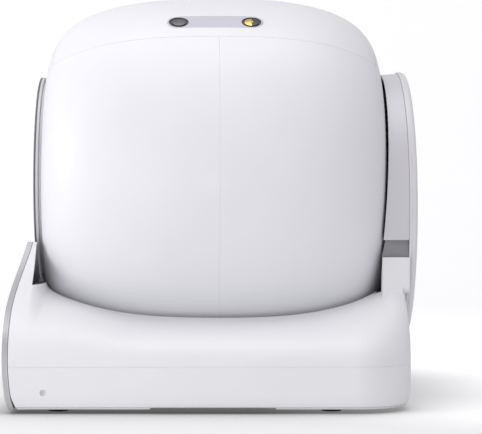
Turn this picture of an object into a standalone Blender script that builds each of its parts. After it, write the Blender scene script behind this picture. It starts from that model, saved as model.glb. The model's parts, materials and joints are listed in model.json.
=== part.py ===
"""Self-cleaning litter box: a barrel drum that turns in a low base, with a sliding hatch and a side drawer.

Metres, +Z up. The front faces -Y and the drawer pulls out to +X. Distances fore and aft are
taken from the drum's centre seam, and turns about the drum axis are counted from straight up towards +X.
"""

import math

import bmesh
import bpy
import numpy as np
from mathutils import Vector

# Clearances shared by the whole product
FIT_GAP = 0.0003
RUN_GAP = 0.0008
CUT_OVERRUN = 0.004

# Overall
FRONT_REACH = 0.2565
REAR_REACH = 0.247
SEAM_Y = (FRONT_REACH - REAR_REACH) / 2
FOOT_HEIGHT = 0.005

# Depths from the front trim back to the drum, and from the back cover forward to it
TRIM_DEPTH = 0.005
ENTRANCE_SETBACK = 0.0277
NECK_LENGTH = 0.0018
COVER_DEPTH = 0.0105
DRIVE_DEPTH = 0.0225
BASE_FRONT = FRONT_REACH - TRIM_DEPTH
NECK_REACH = FRONT_REACH - ENTRANCE_SETBACK
HOUSING_BACK = REAR_REACH - COVER_DEPTH

# Drum: two half shells on one barrel outline
DRUM_RADIUS = 0.245
DRUM_FLOOR_ROOM = 0.030
DRUM_AXIS_Z = DRUM_RADIUS + DRUM_FLOOR_ROOM
DRUM_FRONT_LENGTH = NECK_REACH - NECK_LENGTH
DRUM_REAR_LENGTH = HOUSING_BACK - DRIVE_DEPTH
DRUM_WALL = 0.003
DRUM_LENGTH_POWER = 2.4
DRUM_GIRTH_POWER = 7.0
DRUM_SIDES = 48
RING_SIDES = 32
LIP_SHARE = 0.83
STATION_SHARES = (0.0, 0.19, 0.36, 0.51, 0.64, 0.75, LIP_SHARE)
DRUM_FACE_WIDTH = 0.111
NECK_RADIUS = DRUM_RADIUS - DRUM_FACE_WIDTH

# Entrance rings in front of the neck
RING_STEP = 0.006
ENTRANCE_RING_RADIUS = NECK_RADIUS + RING_STEP
ENTRANCE_RING_WIDTH = 0.019
ENTRANCE_OPENING_RADIUS = ENTRANCE_RING_RADIUS - ENTRANCE_RING_WIDTH
ENTRANCE_RING_DEPTH = 0.0034
ENTRANCE_LIP_DEPTH = 0.0022

# Hatch on top of the drum, its track, and the waste port under it
HATCH_HALF_TURN = math.radians(42.2)
HATCH_TRAVEL = math.radians(70)
HATCH_END_SHARE = 0.75
HATCH_WALL = 0.0045
HATCH_CORNER_LENGTH = 0.045
HATCH_CORNER_TURN = math.radians(6)
HATCH_SEAM = 0.0009
HATCH_DEPTH = HATCH_WALL + HATCH_SEAM
PORT_HALF_TURN = math.radians(18)
PORT_HALF_LENGTH = 0.095

# Catch strip let into the hatch
CATCH_TURN = math.radians(34.2)
CATCH_CENTRE_AFT = -0.005
CATCH_LENGTH = 0.122
CATCH_WIDTH = 0.030
CATCH_SINK = 0.0008
CATCH_FLOOR = 0.0012
WELL_RADIUS = 0.0125
STUD_RADIUS = 0.0075
STUD_HEIGHT = 0.0016

# Litter liner and sieve inside the drum
LINER_HALF_TURN = math.radians(57)
LINER_WALL = 0.0025
LINER_END_SHARE = 0.7
SIEVE_TURN = math.radians(75)
SIEVE_HALF_TURN = math.radians(22.5)
SIEVE_SLOT_HALF_TURN = math.radians(16.2)
SIEVE_WALL = 0.004
SIEVE_END_SHARE = 0.51
SIEVE_END_MARGIN = 0.015
SIEVE_SLOTS = 14
SIEVE_SLOT_SHARE = 0.6

# Ring gear, pinion and hub behind the drum
GEAR_PITCH_RADIUS = 0.120
RING_TEETH = 72
PINION_TEETH = 9
GEAR_MODULE = 2 * GEAR_PITCH_RADIUS / RING_TEETH
GEAR_SPACING = GEAR_MODULE * (RING_TEETH + PINION_TEETH) / 2
GEAR_WIDTH = 0.0072
GEAR_RIM = 0.012
GEAR_BACKLASH = 0.0006
TOOTH_TIP_SHARE = 0.9
TOOTH_ROOT_SHARE = 1.15
TOOTH_TIP_WIDTH_SHARE = 0.55
TOOTH_ROOT_WIDTH_SHARE = 1.5
HUB_FLANGE_RADIUS = 0.040
HUB_FLANGE_DEPTH = 0.0035
HUB_AXLE_RADIUS = 0.012
HUB_FACE = DRUM_REAR_LENGTH + FIT_GAP
REAR_DISC_RADIUS = GEAR_PITCH_RADIUS
BEARING_RADIUS = 0.0205
BEARING_DEPTH = 0.007

# Gear motor: a round gearbox with the motor can hanging under it
MOTOR_HALF_WIDTH = 0.026
MOTOR_BOX_DEPTH = 0.0095
MOTOR_CAN_RADIUS = 0.0112
MOTOR_CAN_LENGTH = 0.029
MOTOR_CAN_LAP = 0.0078
MOTOR_SHAFT_RADIUS = 0.004

# Rear housing, back cover and gear frame
HOUSING_RADIUS = 0.178
HOUSING_DROP = 0.033
HOUSING_CENTRE_Z = DRUM_AXIS_Z - HOUSING_DROP
HOUSING_DRAFT = 0.0025
HOUSING_WALL = 0.003
HOUSING_OVERLAP = 0.024
HOUSING_START = DRUM_REAR_LENGTH - HOUSING_OVERLAP
HOUSING_ROOM = 0.0034
NOTCH_DROP = 0.062
NOTCH_BOTTOM = HOUSING_CENTRE_Z - NOTCH_DROP
NOTCH_HEIGHT = 0.021
NOTCH_DEPTH = 0.014
NOTCH_CORE_HALF_WIDTH = HOUSING_RADIUS - NOTCH_DEPTH
FRAME_WALL = 0.003
FRAME_LAP = 0.0075
COVER_OVERHANG = 0.002
COVER_RADIUS = HOUSING_RADIUS + COVER_OVERHANG
COVER_WALL = 0.003
COVER_EDGE = 0.006
COVER_ROUND_SHARE = 0.3
COVER_SCREW_INSET = 0.028
COVER_SCREW_CIRCLE = HOUSING_RADIUS - COVER_SCREW_INSET
COVER_SCREW_RADIUS = 0.0035

# Base shell: the low body that the drum sits in
BASE_HALF_WIDTH = 0.323
PAD_DEPTH = 0.0075
BASE_BACK = HOUSING_BACK - PAD_DEPTH
BASE_CORNER = 0.070
BASE_WALL = 0.003
PARTING_HEIGHT = 0.055
SHOULDER_STEPS = 6
COLLAR_CLEARANCE = 0.0035
COLLAR_ROOM_RADIUS = ENTRANCE_RING_RADIUS + COLLAR_CLEARANCE

# Shoulder: a rounded curve from the side wall in to the rim under the drum
SIDE_LEVER_RISE = 0.045
SIDE_LEVER_Z = PARTING_HEIGHT + SIDE_LEVER_RISE
RIM_INSET = 0.057
RIM_X = DRUM_RADIUS - RIM_INSET
RIM_DROP = 0.170
RIM_Z = DRUM_AXIS_Z - RIM_DROP
RIM_END_INSET = 0.047
RIM_END_RISE = 0.040
RIM_POWER = 2.8
RIM_LEVER_REACH = 0.070
RIM_RUN_IN = 0.030
RIM_SLOPE_SHARE = 0.2

# Ears beside the entrance: the sides sweep up to them slowly, and their tips rise at the last
EAR_SIDE_RISE = 0.073
EAR_LEVER_Z = PARTING_HEIGHT + EAR_SIDE_RISE
EAR_TIP_WIDTH = 0.0065
EAR_X = COLLAR_ROOM_RADIUS + EAR_TIP_WIDTH
EAR_DROP = 0.077
EAR_Z = DRUM_AXIS_Z - EAR_DROP
EAR_LEVER_REACH = 0.055
EAR_LEVER_X = EAR_X + EAR_LEVER_REACH
EAR_DEPTH = 0.0215
EAR_BACK = BASE_FRONT - EAR_DEPTH
EAR_BLEND_LENGTH = 0.016
EAR_BLEND = EAR_BACK - EAR_BLEND_LENGTH
SWEEP_LENGTH = 0.150
SWEEP_END = EAR_BACK - SWEEP_LENGTH
LEDGE_DROP = 0.128
LEDGE_HEIGHT = DRUM_AXIS_Z - LEDGE_DROP
LEDGE_LENGTH = 0.015
LEDGE_BACK = EAR_BACK - LEDGE_LENGTH

# Lean of the face above the controls
FACE_LEAN = 0.012
FACE_LEAN_LENGTH = 0.048
FACE_LEAN_FROM = EAR_Z - FACE_LEAN_LENGTH
FACE_LEAN_STEPS = 3

# Rear upright that the housing stands on
UPRIGHT_NECK_DROP = 0.029
UPRIGHT_NECK_Z = NOTCH_BOTTOM - UPRIGHT_NECK_DROP
UPRIGHT_BEND_DROP = 0.016
UPRIGHT_BEND_Z = UPRIGHT_NECK_Z - UPRIGHT_BEND_DROP
UPRIGHT_SWEEP_WIDTH = 0.007
UPRIGHT_SWEEP_X = HOUSING_RADIUS + UPRIGHT_SWEEP_WIDTH
UPRIGHT_SWEEP_DROP = 0.023
UPRIGHT_SWEEP_Z = UPRIGHT_NECK_Z - UPRIGHT_SWEEP_DROP
UPRIGHT_FOOT_WIDTH = 0.027
UPRIGHT_FOOT_X = HOUSING_RADIUS + UPRIGHT_FOOT_WIDTH
UPRIGHT_FOOT_DROP = 0.033
UPRIGHT_FOOT_Z = UPRIGHT_NECK_Z - UPRIGHT_FOOT_DROP
CHEEK_LOW_Z = UPRIGHT_BEND_Z
CHEEK_EASE = 0.008

# Base pan
PAN_FLOOR = 0.0024
PAN_TOP = FOOT_HEIGHT + PAN_FLOOR
PAN_TUCK = 0.008
PAN_SLOPE_SHARE = 0.35
PAN_TUCK_SHARES = ((0.0, 1.0), (0.07, 0.45), (0.2, 0.14), (0.42, 0.0), (1.0, 0.0))

# Cradle tray under the drum, and the room that holds both
CRADLE_ROOM = 0.005
CRADLE_WALL = 0.003
DRUM_ROOM = CRADLE_ROOM + CRADLE_WALL + FIT_GAP
CHUTE_TURN = math.radians(147)
CHUTE_HALF_TURN = math.radians(12)
CRADLE_HALF_TURN = math.radians(60)

# Satin trim, display and buttons on the base's front wall
TRIM_BAND = 0.009
DISPLAY_WIDTH = 0.060
DISPLAY_HEIGHT = 0.022
DISPLAY_DROP = 0.0365
DISPLAY_Z = DRUM_AXIS_Z - COLLAR_ROOM_RADIUS - DISPLAY_DROP
DISPLAY_DEPTH = 0.0015
DISPLAY_BOARD_MARGIN = 0.011
BUTTON_RADIUS = 0.0065
BUTTON_PITCH = 0.024
BUTTON_DROP = 0.0308
BUTTON_TRAVEL = 0.0012
BUTTON_SINK = 0.0003
BUTTON_DEPTH = TRIM_DEPTH + BASE_WALL - BUTTON_SINK - BUTTON_TRAVEL

# Rollers under the entrance ring
ROLLER_RADIUS = 0.010
ROLLER_WIDTH = 0.0055
ROLLER_TURN = math.radians(24)
ROLLER_AXLE_RADIUS = 0.003
BRACKET_RADIUS = 0.008
BRACKET_DEPTH = 0.003
POST_HALF_WIDTH = 0.007

# Feet and load cells
FOOT_RADIUS = 0.012
FOOT_SIDE_INSET = 0.045
FOOT_X = BASE_HALF_WIDTH - FOOT_SIDE_INSET
FOOT_FRONT_INSET = 0.0585
FOOT_FRONT = BASE_FRONT - FOOT_FRONT_INSET
FOOT_REAR_INSET = 0.097
FOOT_REAR = BASE_BACK - FOOT_REAR_INSET
FOOT_STEM_RADIUS = 0.004
FOOT_EASE = 0.001
FOOT_EASE_HEIGHT = 0.0014
CELL_LENGTH = 0.034
CELL_WIDTH = 0.022
CELL_HEIGHT = 0.010

# Drawer
DRAWER_FRONT_DEPTH = 0.073
DRAWER_SPLIT_X = BASE_HALF_WIDTH - DRAWER_FRONT_DEPTH
DRAWER_INNER_X = BASE_HALF_WIDTH - PAN_TUCK - BASE_WALL - FIT_GAP
BIN_FRONT_INSET = 0.0795
BIN_FRONT = BASE_FRONT - BIN_FRONT_INSET
BIN_REAR_INSET = 0.117
BIN_REAR = BASE_BACK - BIN_REAR_INSET
BIN_LENGTH = 0.178
BIN_INNER_X = DRAWER_SPLIT_X - BIN_LENGTH
BIN_LOW_HEIGHT = 0.018
BIN_SLOPE_X = 0.060
BIN_HEIGHT = 0.041
BIN_WALL = 0.002
DIMPLE_FRONT_INSET = 0.0438
DIMPLE_FRONT = BASE_FRONT - DIMPLE_FRONT_INSET
DIMPLE_Z = 0.025
DIMPLE_RADIUS = 0.0032
DIMPLE_DEPTH = 0.0012
GRIP_FRONT = 0.0875
GRIP_REAR = 0.069
GRIP_SLANT = 0.006
GRIP_DEPTH = 0.024

# Power inlet
INLET_SIDE_INSET = 0.091
INLET_X = INLET_SIDE_INSET - BASE_HALF_WIDTH
INLET_Z = 0.031
INLET_RADIUS = 0.0065
INLET_BORE_RADIUS = 0.0036
INLET_PIN_RADIUS = 0.0052
INLET_PIN_LENGTH = 0.0032
INLET_DEPTH = 0.016

# Circuit boards
PCB_DEPTH = 0.0016
BOARD_WIDTH = 0.110
BOARD_HEIGHT = 0.070
BOARD_DROP = 0.037
BOARD_Z = HOUSING_CENTRE_Z - BOARD_DROP
CHIP_SIZE = 0.014
CHIP_HEIGHT = 0.0025

AXIS = Vector((0.0, SEAM_Y, DRUM_AXIS_Z))


def clear_scene():
    for item in list(bpy.data.objects):
        bpy.data.objects.remove(item, do_unlink=True)


def material(name, colour, roughness, metallic=0.0):
    made = bpy.data.materials.new(name)
    made.use_nodes = True
    shader = made.node_tree.nodes["Principled BSDF"]
    shader.inputs["Base Color"].default_value = (*colour, 1.0)
    shader.inputs["Roughness"].default_value = roughness
    shader.inputs["Metallic"].default_value = metallic
    return made


def add_object(name, mesh_data, finish=None, pivot=(0.0, 0.0, 0.0), smooth=False):
    """Make an object from a bmesh, with its origin moved to pivot."""
    bmesh.ops.remove_doubles(mesh_data, verts=mesh_data.verts, dist=1e-7)
    bmesh.ops.recalc_face_normals(mesh_data, faces=mesh_data.faces)
    bmesh.ops.translate(mesh_data, verts=mesh_data.verts, vec=-Vector(pivot))
    mesh = bpy.data.meshes.new(name)
    mesh_data.to_mesh(mesh)
    mesh_data.free()
    made = bpy.data.objects.new(name, mesh)
    made.location = pivot
    bpy.context.scene.collection.objects.link(made)
    if finish is not None:
        mesh.materials.append(finish)
    for face in mesh.polygons:
        face.use_smooth = smooth
    return made


def combine(target, cutter, operation="DIFFERENCE"):
    """Apply one Boolean to target and remove the cutter."""
    step = target.modifiers.new("cut", "BOOLEAN")
    step.operation = operation
    step.solver = "EXACT"
    step.object = cutter
    graph = bpy.context.evaluated_depsgraph_get()
    result = bpy.data.meshes.new_from_object(target.evaluated_get(graph))
    target.modifiers.clear()
    old = target.data
    target.data = result
    bpy.data.meshes.remove(old)
    bpy.data.objects.remove(cutter, do_unlink=True)
    return target


def cut_all(target, *cutters):
    for cutter in cutters:
        combine(target, cutter)
    return target


def bridge(mesh_data, rings, closed_ends=True, wrap=False):
    """Join rings of equal length with quads, and cap or wrap the ends."""
    made = [[mesh_data.verts.new(point) for point in ring] for ring in rings]
    count = len(made[0])
    pairs = list(zip(made, made[1:]))
    if wrap:
        pairs.append((made[-1], made[0]))
    for first, second in pairs:
        for index in range(count):
            following = (index + 1) % count
            mesh_data.faces.new((first[index], first[following], second[following], second[index]))
    if closed_ends and not wrap:
        mesh_data.faces.new(list(reversed(made[0])))
        mesh_data.faces.new(made[-1])
    return made


def turned(aft, radius, turn, centre_z=DRUM_AXIS_Z):
    """The point at a radius about the axis; turn 0 is straight up and a quarter turn is +X."""
    return (radius * math.sin(turn), SEAM_Y + aft, centre_z + radius * math.cos(turn))


def lathe(name, loop, finish=None, sides=DRUM_SIDES, centre_z=DRUM_AXIS_Z, smooth=True, pivot=(0, 0, 0)):
    """Spin a closed loop of (aft, radius) points a full turn about the Y axis at centre_z."""
    mesh_data = bmesh.new()
    rings = []
    for step in range(sides):
        turn = 2 * math.pi * step / sides
        rings.append([turned(aft, radius, turn, centre_z) for aft, radius in loop])
    bridge(mesh_data, rings, wrap=True)
    return add_object(name, mesh_data, finish, pivot, smooth)


def loft_y(name, sections, finish=None, pivot=(0.0, 0.0, 0.0), smooth=False):
    """Skin a row of (aft, outline) sections; an outline holds (x, z) points."""
    mesh_data = bmesh.new()
    bridge(mesh_data, [[(x, SEAM_Y + aft, z) for x, z in outline] for aft, outline in sections])
    return add_object(name, mesh_data, finish, pivot, smooth)


def loft_z(name, sections, finish=None, pivot=(0.0, 0.0, 0.0), smooth=False):
    """Skin a stack of (z, outline) sections; an outline holds (x, aft) points."""
    mesh_data = bmesh.new()
    bridge(mesh_data, [[(x, SEAM_Y + aft, z) for x, aft in outline] for z, outline in sections])
    return add_object(name, mesh_data, finish, pivot, smooth)


def block(name, low, high, finish=None, pivot=(0.0, 0.0, 0.0)):
    """A box from low to high, each (x, aft, z)."""
    outline = [(low[0], low[2]), (high[0], low[2]), (high[0], high[2]), (low[0], high[2])]
    return loft_y(name, [(low[1], outline), (high[1], outline)], finish, pivot)


def circle(radius, centre=(0.0, 0.0), sides=32, start=0.0):
    return [(centre[0] + radius * math.sin(start + 2 * math.pi * step / sides),
             centre[1] + radius * math.cos(start + 2 * math.pi * step / sides)) for step in range(sides)]


def rod(name, start, end, radius, finish=None, sides=24, pivot=(0, 0, 0)):
    """A round bar between two world points."""
    start = Vector(start)
    along = Vector(end) - start
    turn = along.to_track_quat("Z", "Y").to_matrix()
    mesh_data = bmesh.new()
    rings = []
    for share in (0.0, 1.0):
        rings.append([start + along * share + turn @ Vector((x, y, 0.0)) for x, y in circle(radius, sides=sides)])
    bridge(mesh_data, rings)
    return add_object(name, mesh_data, finish, pivot, True)


def ring_y(name, outer, inner, front, back, finish=None, centre=(0.0, DRUM_AXIS_Z), sides=32, pivot=(0, 0, 0)):
    """A flat ring with its bore along Y, between two aft values."""
    mesh_data = bmesh.new()
    rings = []
    for step in range(sides):
        turn = 2 * math.pi * step / sides
        loop = ((front, outer), (back, outer), (back, inner), (front, inner))
        rings.append([(centre[0] + radius * math.sin(turn), SEAM_Y + aft, centre[1] + radius * math.cos(turn))
                      for aft, radius in loop])
    bridge(mesh_data, rings, wrap=True)
    return add_object(name, mesh_data, finish, pivot, True)


def end_length(side):
    return DRUM_FRONT_LENGTH if side < 0 else DRUM_REAR_LENGTH


def station(share, side, room=0.0):
    """Aft place and radius of the barrel outline at a share of its quarter sweep, grown by room."""
    sweep = share * math.pi / 2
    aft = (end_length(side) + room) * math.sin(sweep) ** (2 / DRUM_LENGTH_POWER)
    radius = (DRUM_RADIUS + room) * math.cos(sweep) ** (2 / DRUM_GIRTH_POWER)
    return side * aft, radius


def share_at_radius(radius, room=0.0):
    """The sweep share at which the outline grown by room has come in to a radius."""
    cosine = (radius / (DRUM_RADIUS + room)) ** (DRUM_GIRTH_POWER / 2)
    return math.acos(cosine) / (math.pi / 2)


def radius_at(aft, room=0.0):
    side = -1 if aft < 0 else 1
    share = min(abs(aft) / (end_length(side) + room), 1.0)
    return (DRUM_RADIUS + room) * (1 - share ** DRUM_LENGTH_POWER) ** (1 / DRUM_GIRTH_POWER)


def cradle_front_place():
    """How far forward the cradle follows the drum's front end."""
    lip_radius = station(LIP_SHARE, -1)[1]
    return station(share_at_radius(lip_radius, CRADLE_ROOM), -1, CRADLE_ROOM)[0]


def barrel_solid(name, room):
    """The whole barrel grown by room, as a closed solid for cutting."""
    places = [cradle_front_place()] + places_to(LIP_SHARE)
    spots = [(aft, radius_at(aft, room)) for aft in places]
    for end_radius in (NECK_RADIUS, HUB_FLANGE_RADIUS):
        share = share_at_radius(end_radius, room)
        spots = [station(share, -1, room)] + spots + [station(share, 1, room)]
    mesh_data = bmesh.new()
    rings = []
    for aft, radius in spots:
        rings.append([turned(aft, radius, 2 * math.pi * step / DRUM_SIDES) for step in range(DRUM_SIDES)])
    bridge(mesh_data, rings)
    return add_object(name, mesh_data)


def slab(name, places, turns, outer, inner, finish=None, pivot=(0, 0, 0), smooth=True):
    """A curved plate over a grid of aft places and turns about the drum axis."""
    mesh_data = bmesh.new()
    rings = []
    for index, aft in enumerate(places):
        row = turns(aft)
        top = [turned(aft, outer(index, turn), turn) for turn in row]
        under = [turned(aft, inner(index, turn), turn) for turn in reversed(row)]
        rings.append(top + under)
    made = bridge(mesh_data, rings, closed_ends=False)
    for ring in (made[0], made[-1]):
        half = len(ring) // 2
        for index in range(half - 1):
            mesh_data.faces.new((ring[index], ring[index + 1], ring[-2 - index], ring[-1 - index]))
    return add_object(name, mesh_data, finish, pivot, smooth)


def spread(low, high, count):
    return [low + (high - low) * step / count for step in range(count + 1)]


def skin_slab(name, places, low_turn, high_turn, outer_room, inner_room, finish=None, ease=0.0, pivot=(0, 0, 0),
              sides_per_step=1):
    """A plate that follows the barrel over both halves, between two turns, with eased corners."""
    outer_radii = [radius_at(aft, outer_room) for aft in places]
    inner_radii = [radius_at(aft, inner_room) for aft in places]
    count = max(1, round((high_turn - low_turn) * DRUM_SIDES / (2 * math.pi * sides_per_step)))

    def turns(aft):
        end = abs(places[0]) if aft < 0 else places[-1]
        into = max(0.0, abs(aft) - (end - HATCH_CORNER_LENGTH)) / HATCH_CORNER_LENGTH
        trim = ease * (1 - math.sqrt(max(0.0, 1 - into * into)))
        return spread(low_turn + trim, high_turn - trim, count)

    return slab(name, places, turns, lambda index, turn: outer_radii[index],
                lambda index, turn: inner_radii[index], finish, pivot)


def places_to(last_share, margin=0.0):
    """Aft places of the barrel's stations on both sides of the seam, the ends moved out by margin."""
    shares = [share for share in STATION_SHARES if share <= last_share]
    places = [station(share, -1)[0] for share in reversed(shares)]
    places += [station(share, 1)[0] for share in shares[1:]]
    places[0] -= margin
    places[-1] += margin
    return places


def track_backing(name):
    """The thicker wall of the drum under the hatch and its track."""
    low = -(HATCH_HALF_TURN + HATCH_TRAVEL + HATCH_CORNER_TURN)
    high = HATCH_HALF_TURN + HATCH_CORNER_TURN
    return skin_slab(name, places_to(HATCH_END_SHARE, DRUM_WALL), low, high, -DRUM_WALL / 2,
                     -(HATCH_DEPTH + DRUM_WALL))


def track_recess(name):
    seam_turn = HATCH_SEAM / DRUM_RADIUS
    low = -(HATCH_HALF_TURN + HATCH_TRAVEL + seam_turn)
    high = HATCH_HALF_TURN + seam_turn
    return skin_slab(name, places_to(HATCH_END_SHARE, HATCH_SEAM), low, high, CUT_OVERRUN, -HATCH_DEPTH,
                     ease=HATCH_CORNER_TURN)


def port_cutter(name):
    places = [-PORT_HALF_LENGTH, 0.0, PORT_HALF_LENGTH]
    return slab(name, places, lambda aft: spread(-PORT_HALF_TURN, PORT_HALF_TURN, 6),
                lambda index, turn: DRUM_RADIUS + CUT_OVERRUN,
                lambda index, turn: DRUM_RADIUS - HATCH_DEPTH * 4)


def half_space(name, side):
    """Everything on the far side of the seam from the half that is kept, less half of the seam's gap."""
    reach = REAR_REACH * 2
    edge = side * FIT_GAP / 2
    low, high = sorted((edge, -side * reach))
    return block(name, (-reach, low, -reach), (reach, high, reach * 2))


def shell_loop(side):
    """Closed (aft, radius) loop through the wall of one half, from the seam to its open or closed end."""
    outer = [station(share, side) for share in STATION_SHARES]
    inner_places = [aft for aft in places_to(HATCH_END_SHARE) if aft * side >= 0]
    inner = [(aft, radius_at(aft, -DRUM_WALL)) for aft in sorted(inner_places, key=abs)]
    inner.append(station(STATION_SHARES[-1], side, -DRUM_WALL))
    if side < 0:
        mouth = NECK_RADIUS - DRUM_WALL
        root = station(share_at_radius(NECK_RADIUS), side)[0]
        inner_root = station(share_at_radius(mouth, -DRUM_WALL), side, -DRUM_WALL)[0]
        outer += [(root, NECK_RADIUS), (-NECK_REACH, NECK_RADIUS)]
        inner += [(inner_root, mouth), (-NECK_REACH, mouth)]
    else:
        outer += [station(share_at_radius(REAR_DISC_RADIUS), side), (DRUM_REAR_LENGTH, HUB_AXLE_RADIUS)]
        inner += [(DRUM_REAR_LENGTH - DRUM_WALL, HUB_AXLE_RADIUS)]
    return outer + list(reversed(inner))


def drum_shell(name, side, finish):
    loop = shell_loop(side)
    loop[0] = (side * FIT_GAP / 2, DRUM_RADIUS)
    loop[-1] = (side * FIT_GAP / 2, DRUM_RADIUS - DRUM_WALL)
    shell = lathe(name, loop, finish, pivot=AXIS)
    backing = track_backing("backing")
    combine(backing, half_space("other_half", side))
    combine(shell, backing, "UNION")
    return cut_all(shell, track_recess("recess"), port_cutter("port"))


def build_drum(finishes):
    drum_shell("drum_front_shell", -1, finishes["drum_front"])
    drum_shell("drum_rear_shell", 1, finishes["drum_rear"])
    back = -(NECK_REACH + FIT_GAP)
    front = back - ENTRANCE_RING_DEPTH
    ring_y("entrance_ring", ENTRANCE_RING_RADIUS, ENTRANCE_OPENING_RADIUS, front, back,
           finishes["satin_ring"], sides=RING_SIDES, pivot=AXIS)
    lip_back = front - FIT_GAP
    ring_y("entrance_lip", ENTRANCE_RING_RADIUS, ENTRANCE_OPENING_RADIUS, lip_back - ENTRANCE_LIP_DEPTH, lip_back,
           finishes["lip_grey"], sides=RING_SIDES, pivot=AXIS)
    build_liner(finishes["liner"])
    build_sieve(finishes["sieve"])


def build_liner(finish):
    middle = math.pi
    skin_slab("litter_liner", places_to(LINER_END_SHARE), middle - LINER_HALF_TURN, middle + LINER_HALF_TURN,
              -(DRUM_WALL + RUN_GAP), -(DRUM_WALL + RUN_GAP + LINER_WALL), finish, pivot=AXIS, sides_per_step=2)


def build_sieve(finish):
    """A grille across a corner of the drum, cut with slots that let the litter fall back."""
    places = places_to(SIEVE_END_SHARE)
    rims = [radius_at(aft, -(DRUM_WALL + 2 * FIT_GAP)) for aft in places]

    def chord(index, turn):
        return rims[index] * math.cos(SIEVE_HALF_TURN) / math.cos(turn - SIEVE_TURN)

    def turns(aft):
        return spread(SIEVE_TURN - SIEVE_HALF_TURN, SIEVE_TURN + SIEVE_HALF_TURN, 1)

    plate = slab("sieve_grille", places, turns, chord,
                 lambda index, turn: chord(index, turn) - SIEVE_WALL, finish, AXIS, False)
    middles = spread(places[0] + SIEVE_END_MARGIN, places[-1] - SIEVE_END_MARGIN, SIEVE_SLOTS + 1)[1:-1]
    slot = (middles[1] - middles[0]) * SIEVE_SLOT_SHARE / 2
    mesh_data = bmesh.new()
    for middle in middles:
        low, high = SIEVE_TURN - SIEVE_SLOT_HALF_TURN, SIEVE_TURN + SIEVE_SLOT_HALF_TURN
        rings = []
        for aft in (middle - slot, middle + slot):
            rings.append([turned(aft, DRUM_RADIUS, low), turned(aft, DRUM_RADIUS, high),
                          turned(aft, DRUM_RADIUS / 2, high), turned(aft, DRUM_RADIUS / 2, low)])
        bridge(mesh_data, rings)
    return combine(plate, add_object("slots", mesh_data))


def capsule_outline(length, width, steps=8):
    """A stadium outline about the origin, long in its first direction."""
    radius = width / 2
    straight = length / 2 - radius
    points = []
    for end in (1, -1):
        for step in range(steps + 1):
            turn = math.pi * step / steps - math.pi / 2
            points.append((end * (straight + radius * math.cos(turn)), end * radius * math.sin(turn)))
    return points


def on_hatch(along, across, radius):
    """A point over the catch strip: along runs aft, across runs round the drum."""
    return turned(CATCH_CENTRE_AFT + along, radius, CATCH_TURN + across / DRUM_RADIUS)


def hatch_plug(name, outline, top_radius, low_radius, finish=None, pivot=(0, 0, 0)):
    """A plug whose walls stand square to the drum, with a flat outline wrapped on it."""
    mesh_data = bmesh.new()
    rings = [[on_hatch(along, across, radius) for along, across in outline] for radius in (low_radius, top_radius)]
    bridge(mesh_data, rings)
    return add_object(name, mesh_data, finish, pivot)


def build_hatch(finishes):
    panel = skin_slab("hatch_panel", places_to(HATCH_END_SHARE), -HATCH_HALF_TURN, HATCH_HALF_TURN, 0.0, -HATCH_WALL,
                      finishes["hatch"], ease=HATCH_CORNER_TURN, pivot=AXIS)
    opening = capsule_outline(CATCH_LENGTH, CATCH_WIDTH)
    combine(panel, hatch_plug("opening", opening, DRUM_RADIUS + CUT_OVERRUN, DRUM_RADIUS - CUT_OVERRUN * 2))
    strip_top = DRUM_RADIUS - CATCH_SINK
    strip_low = DRUM_RADIUS - HATCH_WALL
    inset = capsule_outline(CATCH_LENGTH - 2 * FIT_GAP, CATCH_WIDTH - 2 * FIT_GAP)
    strip = hatch_plug("catch_strip", inset, strip_top, strip_low, finishes["catch_strip"], AXIS)
    offset = CATCH_LENGTH / 2 - CATCH_WIDTH / 2
    well_floor = strip_low + CATCH_FLOOR
    for side, name, finish in ((-1, "catch_stud_front", "steel"), (1, "catch_stud_rear", "brass")):
        well = [(side * offset + x, y) for x, y in circle(WELL_RADIUS, sides=16)]
        combine(strip, hatch_plug("well", well, DRUM_RADIUS + CUT_OVERRUN, well_floor))
        stud = [(side * offset + x, y) for x, y in circle(STUD_RADIUS, sides=12)]
        hatch_plug(name, stud, well_floor + FIT_GAP + STUD_HEIGHT, well_floor + FIT_GAP, finishes[finish], AXIS)


def gear_outline(teeth, slack):
    """Straight-flanked teeth round a pitch circle; slack thins each tooth."""
    pitch_radius = GEAR_MODULE * teeth / 2
    tip = pitch_radius + GEAR_MODULE * TOOTH_TIP_SHARE
    root = pitch_radius - GEAR_MODULE * TOOTH_ROOT_SHARE
    half = math.pi / teeth / 2 - slack / pitch_radius / 2
    flanks = ((root, -TOOTH_ROOT_WIDTH_SHARE), (tip, -TOOTH_TIP_WIDTH_SHARE), (tip, TOOTH_TIP_WIDTH_SHARE),
              (root, TOOTH_ROOT_WIDTH_SHARE))
    points = []
    for tooth in range(teeth):
        middle = 2 * math.pi * tooth / teeth
        for radius, share in flanks:
            turn = middle + half * share
            points.append((radius * math.sin(turn), radius * math.cos(turn)))
    return points


def toothed_ring(name, teeth, slack, bore, front, centre, finish, phase=0.0):
    """A gear with a round bore, extruded along Y."""
    cos_phase, sin_phase = math.cos(phase), math.sin(phase)
    outline = [(centre[0] + x * cos_phase + z * sin_phase, centre[1] + z * cos_phase - x * sin_phase)
               for x, z in gear_outline(teeth, slack)]
    pivot = (centre[0], SEAM_Y, centre[1])
    gear = loft_y(name, [(front, outline), (front + GEAR_WIDTH, outline)], finish, pivot)
    hole = circle(bore, centre, 20 if bore < GEAR_WIDTH else DRUM_SIDES)
    return combine(gear, loft_y("bore", [(front - CUT_OVERRUN, hole), (front + GEAR_WIDTH + CUT_OVERRUN, hole)]))


def pinion_centre():
    return 0.0, DRUM_AXIS_Z - GEAR_SPACING


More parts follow.
